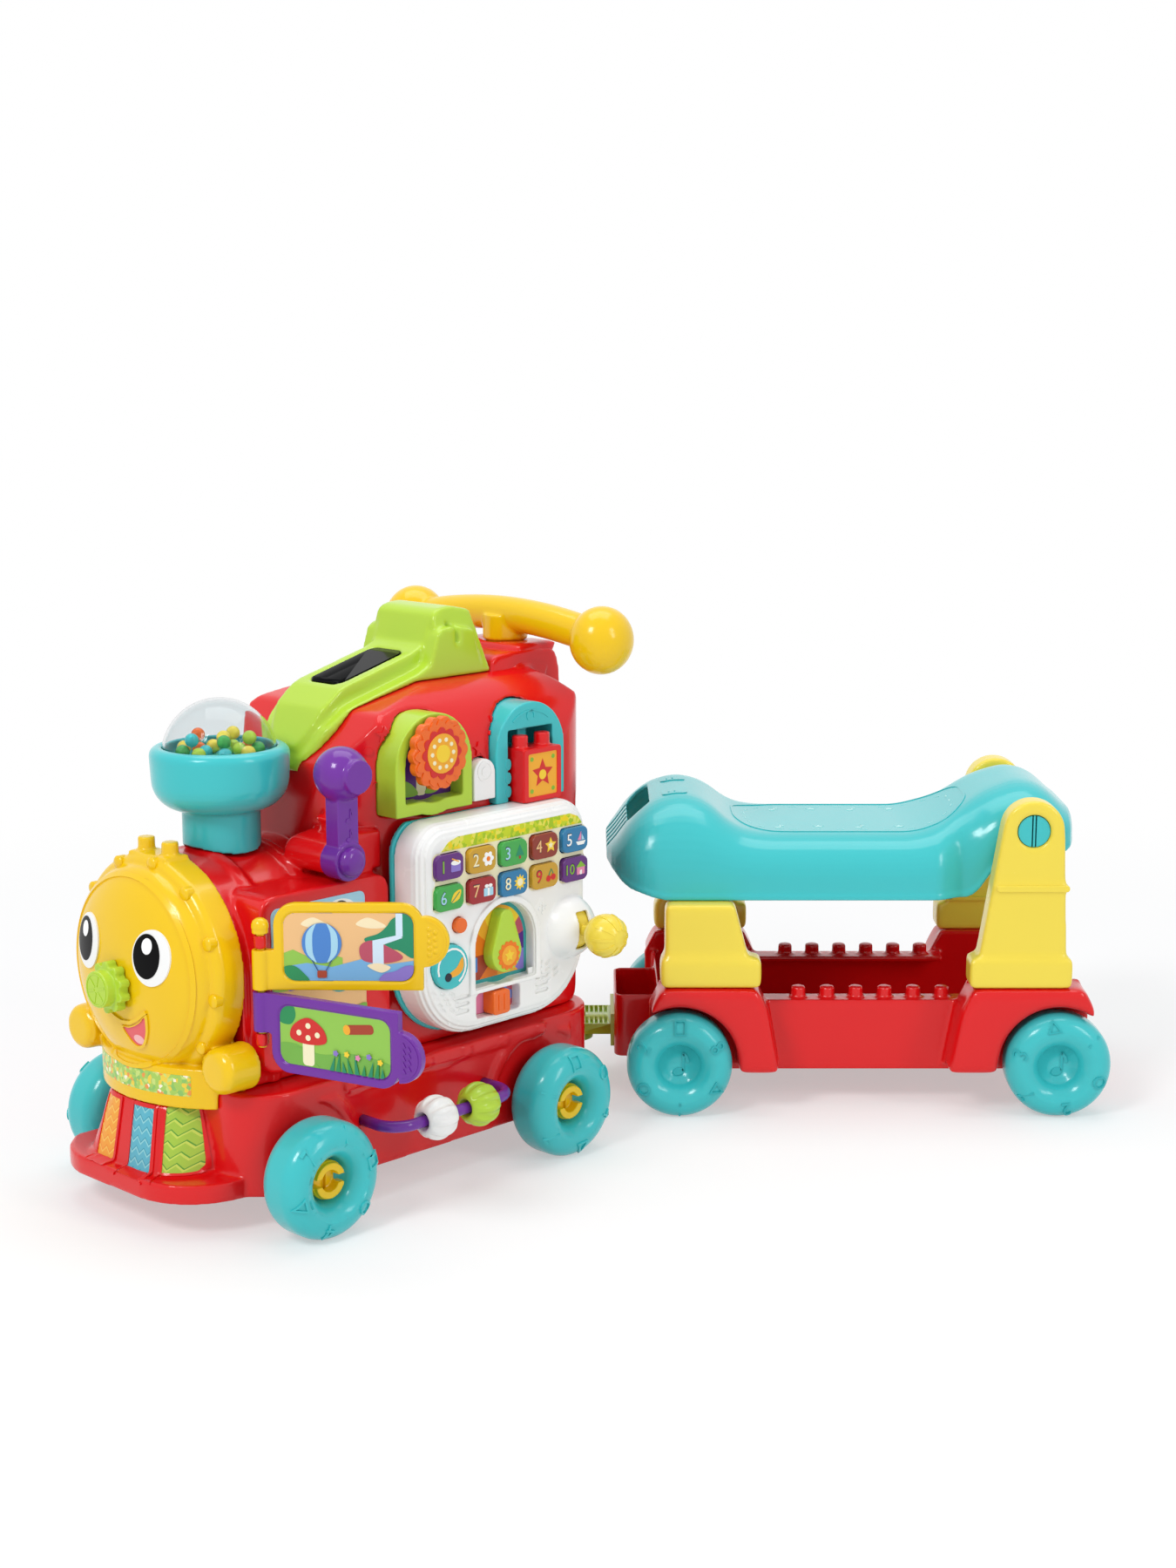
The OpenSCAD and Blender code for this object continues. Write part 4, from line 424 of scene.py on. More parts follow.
def crisp(node, mat, cuts=None):
    """A copy of the solid with smooth round faces and its own edges."""
    ob = welded_copy(node, node + "_look")
    if cuts:
        carve(ob, cuts.made(node + "_cuts"))
    shade(ob)
    stands_for(ob, node, mat)


def islands(me):
    """Loose solids of a mesh, as lists of face numbers."""
    bm = bmesh.new()
    bm.from_mesh(me)
    seen, groups = set(), []
    for first in bm.faces:
        if first.index in seen:
            continue
        todo, group = [first], []
        seen.add(first.index)
        while todo:
            face = todo.pop()
            group.append(face.index)
            for edge in face.edges:
                for other in edge.link_faces:
                    if other.index not in seen:
                        seen.add(other.index)
                        todo.append(other)
        groups.append(group)
    bm.free()
    return groups


def paint_islands(ob, pick):
    """Gives each loose solid of the piece the material that pick names for its middle."""
    me = ob.data
    me.materials.clear()
    places = {}
    for group in islands(me):
        middle = sum((me.polygons[i].center for i in group), Vector()) / len(group)
        mat = pick(LOCO.inverted() @ middle / MM)
        mat = INKS.get(mat, mat)
        if mat.name not in places:
            places[mat.name] = len(me.materials)
            me.materials.append(mat)
        for i in group:
            me.polygons[i].material_index = places[mat.name]


# Outlines, in millimetres and degrees on a plane

def polar(u, v, r, turn):
    t = math.radians(turn)
    return u + r * math.cos(t), v + r * math.sin(t)


def arc(u, v, r, start, end, n=14):
    return [polar(u, v, r, start + (end - start) * k / n) for k in range(n + 1)]


def ellipse(u, v, ru, rv=None, n=28):
    rv = ru if rv is None else rv
    turns = [2 * math.pi * k / n for k in range(n)]
    return [(u + ru * math.cos(t), v + rv * math.sin(t)) for t in turns]


def panel(u0, v0, u1, v1, r=0.0, n=5):
    """Rectangle, with round corners where r is given."""
    if r <= 0:
        return [(u0, v0), (u1, v0), (u1, v1), (u0, v1)]
    out = []
    corners = ((u1 - r, v0 + r), (u1 - r, v1 - r), (u0 + r, v1 - r), (u0 + r, v0 + r))
    for k, corner in enumerate(corners):
        out += arc(*corner, r, 90 * k - 90, 90 * k, n)
    return out


def arch(u, v, w, h):
    """Arch with a flat foot, from the middle of its foot."""
    return [(u - w / 2, v), (u + w / 2, v)] + arc(u, v + h - w / 2, w / 2, 0, 180, 20)


def star(u, v, r, points=5, inner=0.48):
    return [polar(u, v, r * inner if k % 2 else r, 90 + 180 * k / points) for k in range(2 * points)]


def flower(u, v, r, petals, depth):
    n = 6 * petals
    sizes = [r * (1 - depth + depth * abs(math.cos(math.pi * petals * k / n))) for k in range(n)]
    return [polar(u, v, sizes[k], 360 * k / n) for k in range(n)]


def blob(points, per=6):
    """Smooth closed outline through the points."""
    n, out = len(points), []
    for i in range(n):
        p0, p1, p2, p3 = (Vector(points[(i + j - 1) % n]) for j in range(4))
        for k in range(per):
            t = k / per
            out.append(tuple(0.5 * (2 * p1 + (p2 - p0) * t + (2 * p0 - 5 * p1 + 4 * p2 - p3) * t ** 2
                                    + (3 * p1 - p0 - 3 * p2 + p3) * t ** 3)))
    return out


def stroke(points, width):
    """Outline of a line of that width through the points."""
    pts = [Vector(p) for p in points]
    left, right = [], []
    for i, p in enumerate(pts):
        d = (pts[min(i + 1, len(pts) - 1)] - pts[max(i - 1, 0)]).normalized()
        n = Vector((-d.y, d.x)) * width / 2
        left.append(tuple(p + n))
        right.append(tuple(p - n))
    return left + right[::-1]


def turned(loop, angle, u=0.0, v=0.0):
    """The outline turned about its zero, then moved."""
    c, s = math.cos(math.radians(angle)), math.sin(math.radians(angle))
    return [(u + x * c - y * s, v + x * s + y * c) for x, y in loop]


def note(u, v, size):
    """Outlines of a quaver."""
    head = turned(ellipse(0, 0, 0.24 * size, 0.18 * size, 16), 20, u - 0.05 * size, v - 0.36 * size)
    stem = stroke([(u + 0.16 * size, v - 0.34 * size), (u + 0.16 * size, v + 0.5 * size)], 0.11 * size)
    flag = stroke([(u + 0.16 * size, v + 0.47 * size), (u + 0.32 * size, v + 0.28 * size),
                   (u + 0.38 * size, v + 0.05 * size)], 0.13 * size)
    return [head, stem, flag]


def clip(loop, window):
    """The part of the outline inside a convex window."""
    out = list(loop)
    for i in range(len(window)):
        (ax, ay), (bx, by) = window[i - 1], window[i]
        gap = [(bx - ax) * (y - ay) - (by - ay) * (x - ax) for x, y in out]
        src, out = out, []
        for j in range(len(src)):
            p, q, gp, gq = src[j - 1], src[j], gap[j - 1], gap[j]
            if (gp >= 0) != (gq >= 0):
                t = gp / (gp - gq)
                out.append((p[0] + t * (q[0] - p[0]), p[1] + t * (q[1] - p[1])))
            if gq >= 0:
                out.append(q)
    return out


def inside(p, loops):
    hit = False
    for loop in loops:
        for i in range(len(loop)):
            (x0, y0), (x1, y1) = loop[i - 1], loop[i]
            if (y0 > p[1]) != (y1 > p[1]) and p[0] < (x1 - x0) * (p[1] - y0) / (y1 - y0) + x0:
                hit = not hit
    return hit


def divided(loop, step):
    out = []
    for i in range(len(loop)):
        a, b = Vector(loop[i - 1]), Vector(loop[i])
        n = max(1, math.ceil((b - a).length / step))
        out += [tuple(a.lerp(b, k / n)) for k in range(n)]
    return out


def filled(loops, step=0.0):
    """Points and triangles inside the outlines, with points between them where step is given."""
    pts, edges = [], []
    for loop in loops:
        ring = divided(loop, step) if step else loop
        k, n = len(pts), len(ring)
        pts += ring
        edges += [(k + i, k + (i + 1) % n) for i in range(n)]
    if step:
        low = [min(p[i] for p in pts) for i in (0, 1)]
        high = [max(p[i] for p in pts) for i in (0, 1)]
        for i in range(int((high[0] - low[0]) / step) + 1):
            for j in range(int((high[1] - low[1]) / step) + 1):
                p = (low[0] + (i + 0.5) * step, low[1] + (j + 0.5) * step)
                if inside(p, loops):
                    pts.append(p)
    got = delaunay_2d_cdt([Vector(p) for p in pts], edges, [], 0, 1e-5)
    verts, tris = got[0], []
    for t in got[2]:
        a, b, c = (verts[i] for i in t)
        if inside((a + b + c) / 3, loops):
            tris.append(tuple(t) if (b - a).cross(c - a) > 0 else tuple(reversed(t)))
    return verts, tris


def digits(body, size):
    """Points and triangles of plain digits, about zero."""
    curve = bpy.data.curves.new("digits", "FONT")
    curve.body = body
    curve.size = size
    curve.align_x = "CENTER"
    curve.align_y = "CENTER"
    curve.resolution_u = 3
    ob = link(bpy.data.objects.new("digits", curve))
    bpy.context.view_layer.update()
    me = bpy.data.meshes.new_from_object(ob.evaluated_get(bpy.context.evaluated_depsgraph_get()))
    me.calc_loop_triangles()
    verts = [Vector(v.co[:2]) for v in me.vertices]
    tris = []
    for t in me.loop_triangles:
        a, b, c = (verts[i] for i in t.vertices)
        tris.append(tuple(t.vertices) if (b - a).cross(c - a) > 0 else tuple(reversed(t.vertices)))
    bpy.data.objects.remove(ob)
    bpy.data.curves.remove(curve)
    bpy.data.meshes.remove(me)
    return verts, tris


class Pile:
    """Gathers closed sheets and turned shapes into one mesh; lay and level use its plane and node."""

    def __init__(self, place=None, node=None):
        self.place, self.node = place, node
        self.verts, self.faces, self.index, self.mats = [], [], [], []

    def put(self, verts, faces, mat):
        """Adds faces in a material, which may be named as one of INKS."""
        mat = INKS.get(mat, mat)
        k = len(self.verts)
        if mat not in self.mats:
            self.mats.append(mat)
        self.verts += verts
        self.faces += [tuple(k + i for i in f) for f in faces]
        self.index += [self.mats.index(mat)] * len(faces)

    def sheet(self, tris, top, low, mat):
        n = len(top)
        faces = list(tris) + [tuple(n + i for i in reversed(t)) for t in tris]
        edges = {(t[i], t[(i + 1) % 3]) for t in tris for i in range(3)}
        faces += [(b, a, n + a, n + b) for a, b in sorted(edges) if (b, a) not in edges]
        self.put(top + low, faces, mat)

    def flat(self, shape, place, low, high, mat):
        """A level sheet from low to high off the plane; shape is outlines or points and triangles."""
        verts, tris = shape if isinstance(shape, tuple) else filled(shape)
        self.sheet(tris, [place @ Vector((v.x * MM, v.y * MM, high * MM)) for v in verts],
                   [place @ Vector((v.x * MM, v.y * MM, low * MM)) for v in verts], mat)

    def drape(self, shape, place, node, lift, mat, step=2.5):
        """A sheet laid on a dressed piece, looking down on the plane."""
        verts, tris = shape if isinstance(shape, tuple) else filled(shape, step)
        if node not in TREES:
            me = LOOK[node].data
            faces = [p.vertices[:] for p in me.polygons]
            TREES[node] = BVHTree.FromPolygons([v.co for v in me.vertices], faces)
        aim = -(place.to_3x3() @ Vector((0, 0, 1))).normalized()
        top, low, lost = [], [], set()
        for i, v in enumerate(verts):
            start = place @ Vector((v.x * MM, v.y * MM, 0))
            spot, normal, _, _ = TREES[node].ray_cast(start, aim)
            if spot is None:
                lost.add(i)
                spot, normal = start, -aim
            if normal.dot(aim) > 0:
                normal = -normal
            top.append(spot + normal * lift * MM)
            low.append(spot - normal * SINK * MM)
        self.sheet([t for t in tris if not lost.intersection(t)], top, low, mat)

    def lay(self, shape, lift, mat, step=2.5):
        self.drape(shape, self.place, self.node, lift, mat, step)

    def level(self, shape, low, high, mat):
        self.flat(shape, self.place, low, high, mat)

    def turn(self, profile, place, mat, n=20):
        """A shape turned about the plane's normal from points of radius and height."""
        verts, faces, rows = [], [], []
        for r, h in profile:
            if r <= 0:
                rows.append([len(verts)] * n)
                verts.append(place @ Vector((0, 0, h * MM)))
                continue
            rows.append(list(range(len(verts), len(verts) + n)))
            for k in range(n):
                t = 2 * math.pi * k / n
                verts.append(place @ Vector((r * MM * math.cos(t), r * MM * math.sin(t), h * MM)))
        for low, high in zip(rows, rows[1:]):
            for k in range(n):
                face = (low[k], low[(k + 1) % n], high[(k + 1) % n], high[k])
                face = tuple(dict.fromkeys(face))
                if len(face) > 2:
                    faces.append(face)
        self.put(verts, faces, mat)

    def made(self, name):
        me = bpy.data.meshes.new(name)
        me.from_pydata([tuple(v) for v in self.verts], [], self.faces)
        for mat in self.mats:
            me.materials.append(mat)
        me.polygons.foreach_set("material_index", self.index)
        me.validate()
        return link(bpy.data.objects.new(name, me))

    def piece(self, name, node=None, slot=None, angle=35):
        """The gathered mesh as a piece that rides with the node's body."""
        ob = self.made(name)
        shade(ob, angle)
        rides(ob, node or self.node)

    def printed(self, name, node=None):
        self.piece(name, node, "printed_card")

    def soft_piece(self, name, node, voxel, rounds, keep):
        """The gathered mesh with the soft edges of a moulding."""
        ob = self.made(name)
        soften(ob, voxel, rounds, keep)
        rides(ob, node)


# The dressed solids

def hood_slot():
    """Cut at the rear top edge of the hood's block."""
    along = Vector((7, -8, -15)).normalized()
    out = Vector((0.55, -0.7, 0.6))
    out = (out - along * out.dot(along)).normalized()
    side = out.cross(along)
    place = Matrix((along, side, out)).transposed().to_4x4()
    place.translation = Vector((-183.5, -39, 421.5)) * MM
    cuts = Pile()
    cuts.flat([panel(-9, -1.9, 9, 1.9)], LOCO @ place, -5, 8, LIME)
    return cuts


# Wheels and beads: depths and the hub's slot, radius and height along the mouths, and hub lips
CORNERS = ("front_left", "front_right", "rear_left", "rear_right")
LEDGE, DISC, HUB_SLOT = 18, 13.8, 13
FUNNEL = [(16.6, -18), (17.3, -13), (18.8, -9), (21, -5.4), (23.6, -2.6), (26.4, -0.8), (29.4, 0)]
MOUTH_TOP = [(36, 4), (0, 4)]
WHEEL_R, SIGN_R = 45, 35.5
HUB_R, HUB_BORE = 16.3, 8.2
HUB_STEPS = ((15, -LEDGE - 1, -13), (13.8, -13.5, -9.5))
DISH = [(17, -13.8), (17.7, -10), (19.2, -7), (22, -4), (25, -1.9), (28, -0.6), (31, 0)]
BEAD_BORE, BEAD_ROUND = 6 * MM, 0.55


def wheel_faces(node):
    """Planes on the outer faces of a wheel or a pair, about the axle."""
    base = WAGON if "wagon" in node else LOCO
    turn = base.inverted()
    spots = [turn @ v.co / MM for v in NODES[node].data.vertices]
    x = [f(p.x for p in spots) for f in (min, max)]
    y = [f(p.y for p in spots) for f in (min, max)]
    planes = []
    if y[0] < 0:
        planes.append(on_side(y[0], base) @ shift(sum(x) / 2, WHEEL_R, 0))
    if y[1] > 0:
        back = base @ HALF_TURN
        planes.append(on_side(-y[1], back) @ shift(-sum(x) / 2, WHEEL_R, 0))
    return planes


def round_bead(node):
    """Pulls in the ends of a bead on its rod."""
    turn = LOW.inverted()
    me = LOOK[node].data
    spots = [turn @ v.co for v in me.vertices]
    low, high = (Vector([f(p[i] for p in spots) for i in range(3)]) for f in (min, max))
    mid = (low + high) / 2
    for v, p in zip(me.vertices, spots):
        along = 2 * (p.x - mid.x) / (high.x - low.x)
        out = Vector((0, p.y - mid.y, p.z - mid.z))
        if out.length > BEAD_BORE:
            size = BEAD_BORE + (out.length - BEAD_BORE) * (1 - BEAD_ROUND * along ** 2)
            v.co = LOW @ (Vector((p.x, mid.y, mid.z)) + out.normalized() * size)


LEVER_AT, KNOB_R = (-139, 184), 17.5


def panel_grooves():
    """Shallow dashes round the speaker slots."""
    cuts = Pile()
    dashes = [(-288 + 9.5 * j + 3.2 * i, 157 - 5 * i - 1.5 * j, -35) for i in range(4) for j in range(3)]
    dashes += [(-172 + 9 * j, 141 + 4.8 * i + 3.5 * j, 25) for i in range(5) for j in range(3)]
    for u, v, turn in dashes:
        if math.hypot(u - LEVER_AT[0], v - LEVER_AT[1]) > 33:
            cuts.flat([turned(panel(-3.4, -1.1, 3.4, 1.1, 1), turn, u, v)], on_side(PANEL_FACE), -2, 6, WHITE)
    return cuts


# More rounds go to the handle's pedestal, the lamp lobes and the wagon's wheel housings
moulded("upper_shell", RED, rounds=18, more=(LOCO, 50, lambda p: p.z > 384 and p.x > -150))
moulded("chassis_shell", RED, rounds=14)
moulded("top_hood", LIME, voxel=1.3, rounds=26, keep=0.35, cuts=hood_slot())
moulded("face_plate", YELLOW, voxel=1.2, rounds=6, keep=0.35,
        more=(LOCO, 70, lambda p: abs(p.y) > 70 and p.z < 147 and p.x < -444))
moulded("control_panel", WHITE, voxel=0.9, rounds=5, keep=0.35, cuts=panel_grooves())
moulded("wagon_chassis", RED, more=(WAGON, 130, lambda p: abs(p.y) > 86 and p.z > 34))
# Rows of node, material, voxel in millimetres, rounds of smoothing and share of faces kept
for row in (
    ("front_posts", PALE, 2.2, 22, 0.6), ("rear_posts", PALE, 1.7, 22, 0.5),
    ("chimney_bowl", TEAL, 1.2, 8, 0.35), ("window_frame", LIME, 0.8, 8, 0.6),
    ("block_niche", TEAL, 0.8, 8, 0.6), ("letter_block", RED, 0.8, 5, 0.3), ("panel_back", TEAL, 1.2, 3, 0.15),
    ("push_handle", YELLOW, 1.2, 8, 0.4), ("side_lever", PURPLE, 0.9, 6, 0.4),
):
    moulded(*row)
crisp("hitch_bar", LIME)
for row in (
    ("draw_bar", LIME, 0.9, 3, 0.3), ("page_upper", YELLOW, 0.7, 5, 0.25), ("page_lower", PURPLE, 0.7, 5, 0.25),
    ("nose_gear", LIME, 0.7, 6, 0.5), ("light_button", ORANGE, 0.7, 6, 0.4), ("door_key", WHITE, 0.7, 8, 0.4),
    ("dial_pointer", LIME, 0.7, 10, 0.4), ("slide_switch", ORANGE, 0.6, 6, 0.4),
    ("hinge_post", YELLOW, 0.5, 4, 0.5),
):
    moulded(*row)
key_row = ["purple", "gold", "green", "brown", "blue", "green", "red", "blue", "gold", "purple"]
for k, hue in enumerate(key_row, 1):
    moulded("number_key_%d" % k, KEY_MATS[hue], voxel=0.6, rounds=7, keep=0.5)
moulded("music_button", ORANGE, voxel=0.5, rounds=5)
moulded("melody_button", TEAL, voxel=0.6, rounds=5)
hub_cuts, hub_lips = Pile(), Pile()
for corner in CORNERS:
    wheel = "loco_wheel_" + corner
    face = wheel_faces(wheel)[0]
    mouth = Pile()
    mouth.turn([(0, -LEDGE)] + FUNNEL + MOUTH_TOP, face, TEAL, 72)
    crisp(wheel, TEAL, cuts=mouth)
    hub_cuts.turn([(0, -LEDGE), (HUB_R, -LEDGE), (HUB_R, 4), (0, 4)], face, YELLOW, 32)
    for start in (HUB_SLOT, 180 + HUB_SLOT):
        for out, low, high in HUB_STEPS:
            rim = arc(0, 0, out, start, start + 180 - 2 * HUB_SLOT, 24)
            bore = arc(0, 0, HUB_BORE, start + 6, start + 174 - 2 * HUB_SLOT, 24)
            hub_lips.flat([rim + bore[::-1]], face, low, high, YELLOW)
for wheels in ("wagon_wheels_front", "wagon_wheels_rear"):
    mouth = Pile()
    for face in wheel_faces(wheels):
        mouth.turn([(0, -DISC)] + DISH + MOUTH_TOP, face, TEAL, 72)
    crisp(wheels, TEAL, cuts=mouth)
moulded("axle_hubs", YELLOW, voxel=0.7, rounds=3, keep=0.4, cuts=hub_cuts, adds=hub_lips)
crisp("ball_lever", PALE)
for bead, mat in (("bead_front", WHITE), ("bead_rear", LIME)):
    moulded(bead, mat, voxel=0.7, rounds=4)
    round_bead(bead)
for row in (
    ("bead_rod", PURPLE), ("popper_dome", CLEAR), ("popper_balls", ORANGE), ("hood_window", BLACK),
    ("eyes", WHITE), ("printed_cards", PALE), ("sound_unit", GREY), ("battery_pack", GREY),
    ("battery_door", RED), ("shell_screws", STEEL), ("wagon_axle_front", STEEL), ("wagon_axle_rear", STEEL),
):
    crisp(*row)


# Seat: points of its top and foot lines, and its pivot
PIVOT_X, PIVOT_Z = 374, 247
SEAT_LINE = [(16, 213), (28, 236), (52, 260), (78, 268), (102, 262), (126, 241), (148, 236),
             (280, 236), (308, 245), (340, 268), (372, 279), (396, 272), (416, 250)]
SEAT_FOOT = [(16, 213), (30, 194), (64, 184), (330, 184), (347, 212), (400, 218), (416, 228)]


def on_line(points, x):
    x = min(max(x, points[0][0]), points[-1][0])
    for (x0, z0), (x1, z1) in zip(points, points[1:]):
        if x <= x1:
            return z0 + (z1 - z0) * (x - x0) / (x1 - x0)


def eased(points, x, reach):
    """Height on the line at x, with its corners rounded over the reach."""
    return sum(on_line(points, x + reach * k / 6) for k in range(-6, 7)) / 13


def seat_half(x):
    """Half width of the saddle: round corners at both ends and a step in behind the rider."""
    if x < 64:
        return 49 + math.sqrt(max(0, 48 ** 2 - (64 - x) ** 2))
    if x > 392:
        return 60 + math.sqrt(max(0, 24 ** 2 - (x - 392) ** 2))
    t = min(max((x - 294) / 28, 0), 1)
    return 97 - 13 * t * t * (3 - 2 * t)


def seat_ring(x, inset):
    """One section of the saddle: lip, wall, round shoulder and flat top."""
    top = eased(SEAT_LINE, x, 11) - inset
    foot = eased(SEAT_FOOT, x, 8) - 1.5 * inset
    half = seat_half(x) - inset
    wall = foot + min(16, 0.3 * (top - foot))
    lip = 0 if inset else min(1.2, 0.1 * (top - foot))
    flat = half * (0.58 - 0.26 * min(max((top - 236) / 40, 0), 1))
    side = [(half + lip, foot), (half + lip, foot + 3.5 * lip), (half, foot + 4.2 * lip)]
    for k in range(13):
        t = math.radians(7.5 * k)
        c, s = max(0, math.cos(t)) ** 0.9, math.sin(t) ** 0.9
        side.append((flat + (half - flat) * c, wall + (top - wall) * s))
    side += [(flat * 0.66, top), (flat * 0.33, top)]
    return [(x, y, z) for y, z in side] + [(x, 0, top)] + [(x, -y, z) for y, z in reversed(side)]


def lofted(rings):
    n = len(rings[0])
    verts = [WAGON @ (Vector(p) * MM) for ring in rings for p in ring]
    faces = [tuple(range(n)), tuple(range(len(verts) - 1, len(verts) - n - 1, -1))]
    for r in range(len(rings) - 1):
        for k in range(n):
            i, j = r * n + k, r * n + (k + 1) % n
            faces.append((i, i + n, j + n, j))
    return verts, faces


def seat_form():
    """The saddle as a hollow loft with its grip slot and finger grooves."""
    body, tools = Pile(), Pile()
    body.put(*lofted([seat_ring(x, 0) for x in range(16, 417, 4)]), TEAL)
    tools.put(*lofted([seat_ring(x, 4) for x in range(32, 403, 5)]), TEAL)
    above = WAGON @ shift(0, 0, 231)
    tools.flat([panel(35, -44, 53, 44, 8, 8)], above, 0, 60, TEAL)
    slope = Matrix(((0.5, 0, -0.866), (0, 1, 0), (0.866, 0, 0.5))).to_4x4()
    for k in range(5):
        spot = shift(24.5, 17 * (k - 2), 231)
        tools.flat([panel(-26, -2.6, 13, 2.6, 2.5, 6)], WAGON @ spot @ slope, -6, 30, TEAL)
    ob, tool = body.made("seat_look"), tools.made("seat_cuts")
    for me in (ob.data, tool.data):
        edit_mesh(me, lambda bm: bmesh.ops.recalc_face_normals(bm, faces=bm.faces))
    carve(ob, tool)
    soften(ob, 1.3, 4, 0.35)
    stands_for(ob, "seat", TEAL)
    pins = Pile()
    for way in (1, -1):
        plane = on_side(PIN_FACE, WAGON if way > 0 else WAGON @ HALF_TURN)
        u = way * PIVOT_X
        disc = ellipse(u, PIVOT_Z, 13.4, n=40)
        for low, high in ((-20, -2), (-0.8, 0.8), (2, 20)):
            band = panel(u + low, PIVOT_Z - 17, u + high, PIVOT_Z + 17)
            pins.flat([clip(disc, band)], plane, -32, 0, TEAL)
    pins.piece("seat_pins", "seat")


# Details of the face and the front

BOILER_Z, BUMP_R, NOSE_Z, CHIMNEY_X, BALL_R = 191, 81.5, 182, -391, 5.4


def face_details():
    marks = Pile(AHEAD, "eyes")
    for u in (35.5, -42.5):
        marks.lay([ellipse(u, 210, 12.6, 16.8, 40)], 0.35, PUPIL, 3)
        marks.lay([ellipse(u + 0.5, 217.7, 4.8, 6)], 0.6, SHINE)
    marks.printed("eye_prints")
    mouth = blob([(3, 150), (10, 151), (17, 153.5), (24, 157.5), (30, 162.5), (29, 153), (26, 146), (21, 139.5),
                  (14, 137), (8, 141.5)], 4)
    rim = [(17 + (u - 17) * 1.2, 149 + (v - 149) * 1.2) for u, v in mouth]
    grin = Pile(AHEAD, "face_plate")
    grin.lay([mouth], 0.3, MOUTH, 2)
    grin.lay([ellipse(18, 142.5, 5.5, 3.8)], 0.55, TONGUE, 2)
    grin.lay([rim, mouth], 1.4, YELLOW, 2)
    lip = [(-14, 162), (-6, 157), (3, 154.5), (13, 155.5), (22, 160), (32, 167)]
    grin.lay([stroke(lip, 2.6)], 1.7, YELLOW, 2)
    grin.piece("smile")
    trim = Pile(AHEAD, "face_plate")
    for k in range(12):
        spot = facing(0, BUMP_X) @ shift(*polar(0, BOILER_Z, BUMP_R, 30 * k - 8), 0)
        trim.turn([(5.2, -6), (5.2, 0.2), (4.6, 1), (3, 1.6), (0, 1.8)], spot, YELLOW)
    trim.lay([ellipse(0, BOILER_Z, 73.5, n=72), ellipse(0, BOILER_Z, 70.5, n=72)], 1.1, YELLOW, 3)
    trim.piece("face_bumps")
    strip = Pile(AHEAD, "face_plate")
    strip.lay([panel(-55.5, 102, 55.5, 118, 1.5)], 0.25, BIB, 4)
    strip.printed("bib_print")
    cap = Pile(AHEAD, "nose_gear")
    for k in range(6):
        cap.lay([turned(panel(2.5, -0.7, 10.5, 0.7), 60 * k + 15, 0, NOSE_Z)], 0.45, LIME, 3)
    cap.lay([ellipse(0, NOSE_Z, 12.4), ellipse(0, NOSE_Z, 11.4)], 0.45, LIME, 3)
    cap.piece("nose_star")


def cowcatcher_details():
    cow, frames = Pile(), Pile()
    near = blob([(-9.5, 90), (-8.5, 91), (10.5, 91), (12, 90), (20, 54), (18, 47), (13, 45), (-7.5, 45),
                 (-8.5, 46)], 3)
    middle = blob([(6, 88), (7, 89), (26, 89), (27, 88), (33.5, 44), (32.5, 43), (9, 43), (8, 44)], 3)
    far = panel(-32, 43.5, -11, 89, 2)
    fields = ((far, AHEAD, CHEV_FAR), (middle, AHEAD, CHEV_MID), (near, facing(30, -570.6, -100), CHEV_NEAR))
    for outline, plane, mat in fields:
        cow.drape([outline], plane, "chassis_shell", 0.3, mat, 3)
        mid = (sum(u for u, v in outline) / len(outline), sum(v for u, v in outline) / len(outline))
        rim = [(mid[0] + (u - mid[0]) * 1.22, mid[1] + (v - mid[1]) * 1.09) for u, v in outline]
        frames.drape([rim, outline], plane, "chassis_shell", 1.1, RED, 3)
    frames.piece("cowcatcher_frames", "chassis_shell")
    cow.printed("cowcatcher_prints", "chassis_shell")


def popper_details():
    hues = [ORANGE, LIME, TEAL, PALE, KEY_MATS["green"]]

    def pick(spot):
        return hues[round(math.degrees(math.atan2(spot.y, spot.x - CHIMNEY_X)) / 40) % 5]

    paint_islands(LOOK["popper_balls"], pick)
    more = Pile()
    ball = [(0, -BALL_R)] + arc(0, 0, BALL_R, -72, 72, 8) + [(0, BALL_R)]
    spots = [(15.5, 60 * k + 10, 347.5) for k in range(6)] + [(23, 72 * k + 25, 356.5) for k in range(5)]
    spots.append((4, 0, 356))
    for k, (r, turn, z) in enumerate(spots):
        place = LOCO @ shift(*polar(CHIMNEY_X, 0, r, turn), z)
        more.turn(ball, place, hues[(2 * k + 1) % 5], 16)
    more.piece("popper_balls_inner", "popper_balls", angle=60)


# Details of the cab side

DISC_AT, DOOR_KEY_AT = (-262, 341), (-206.3, 318)


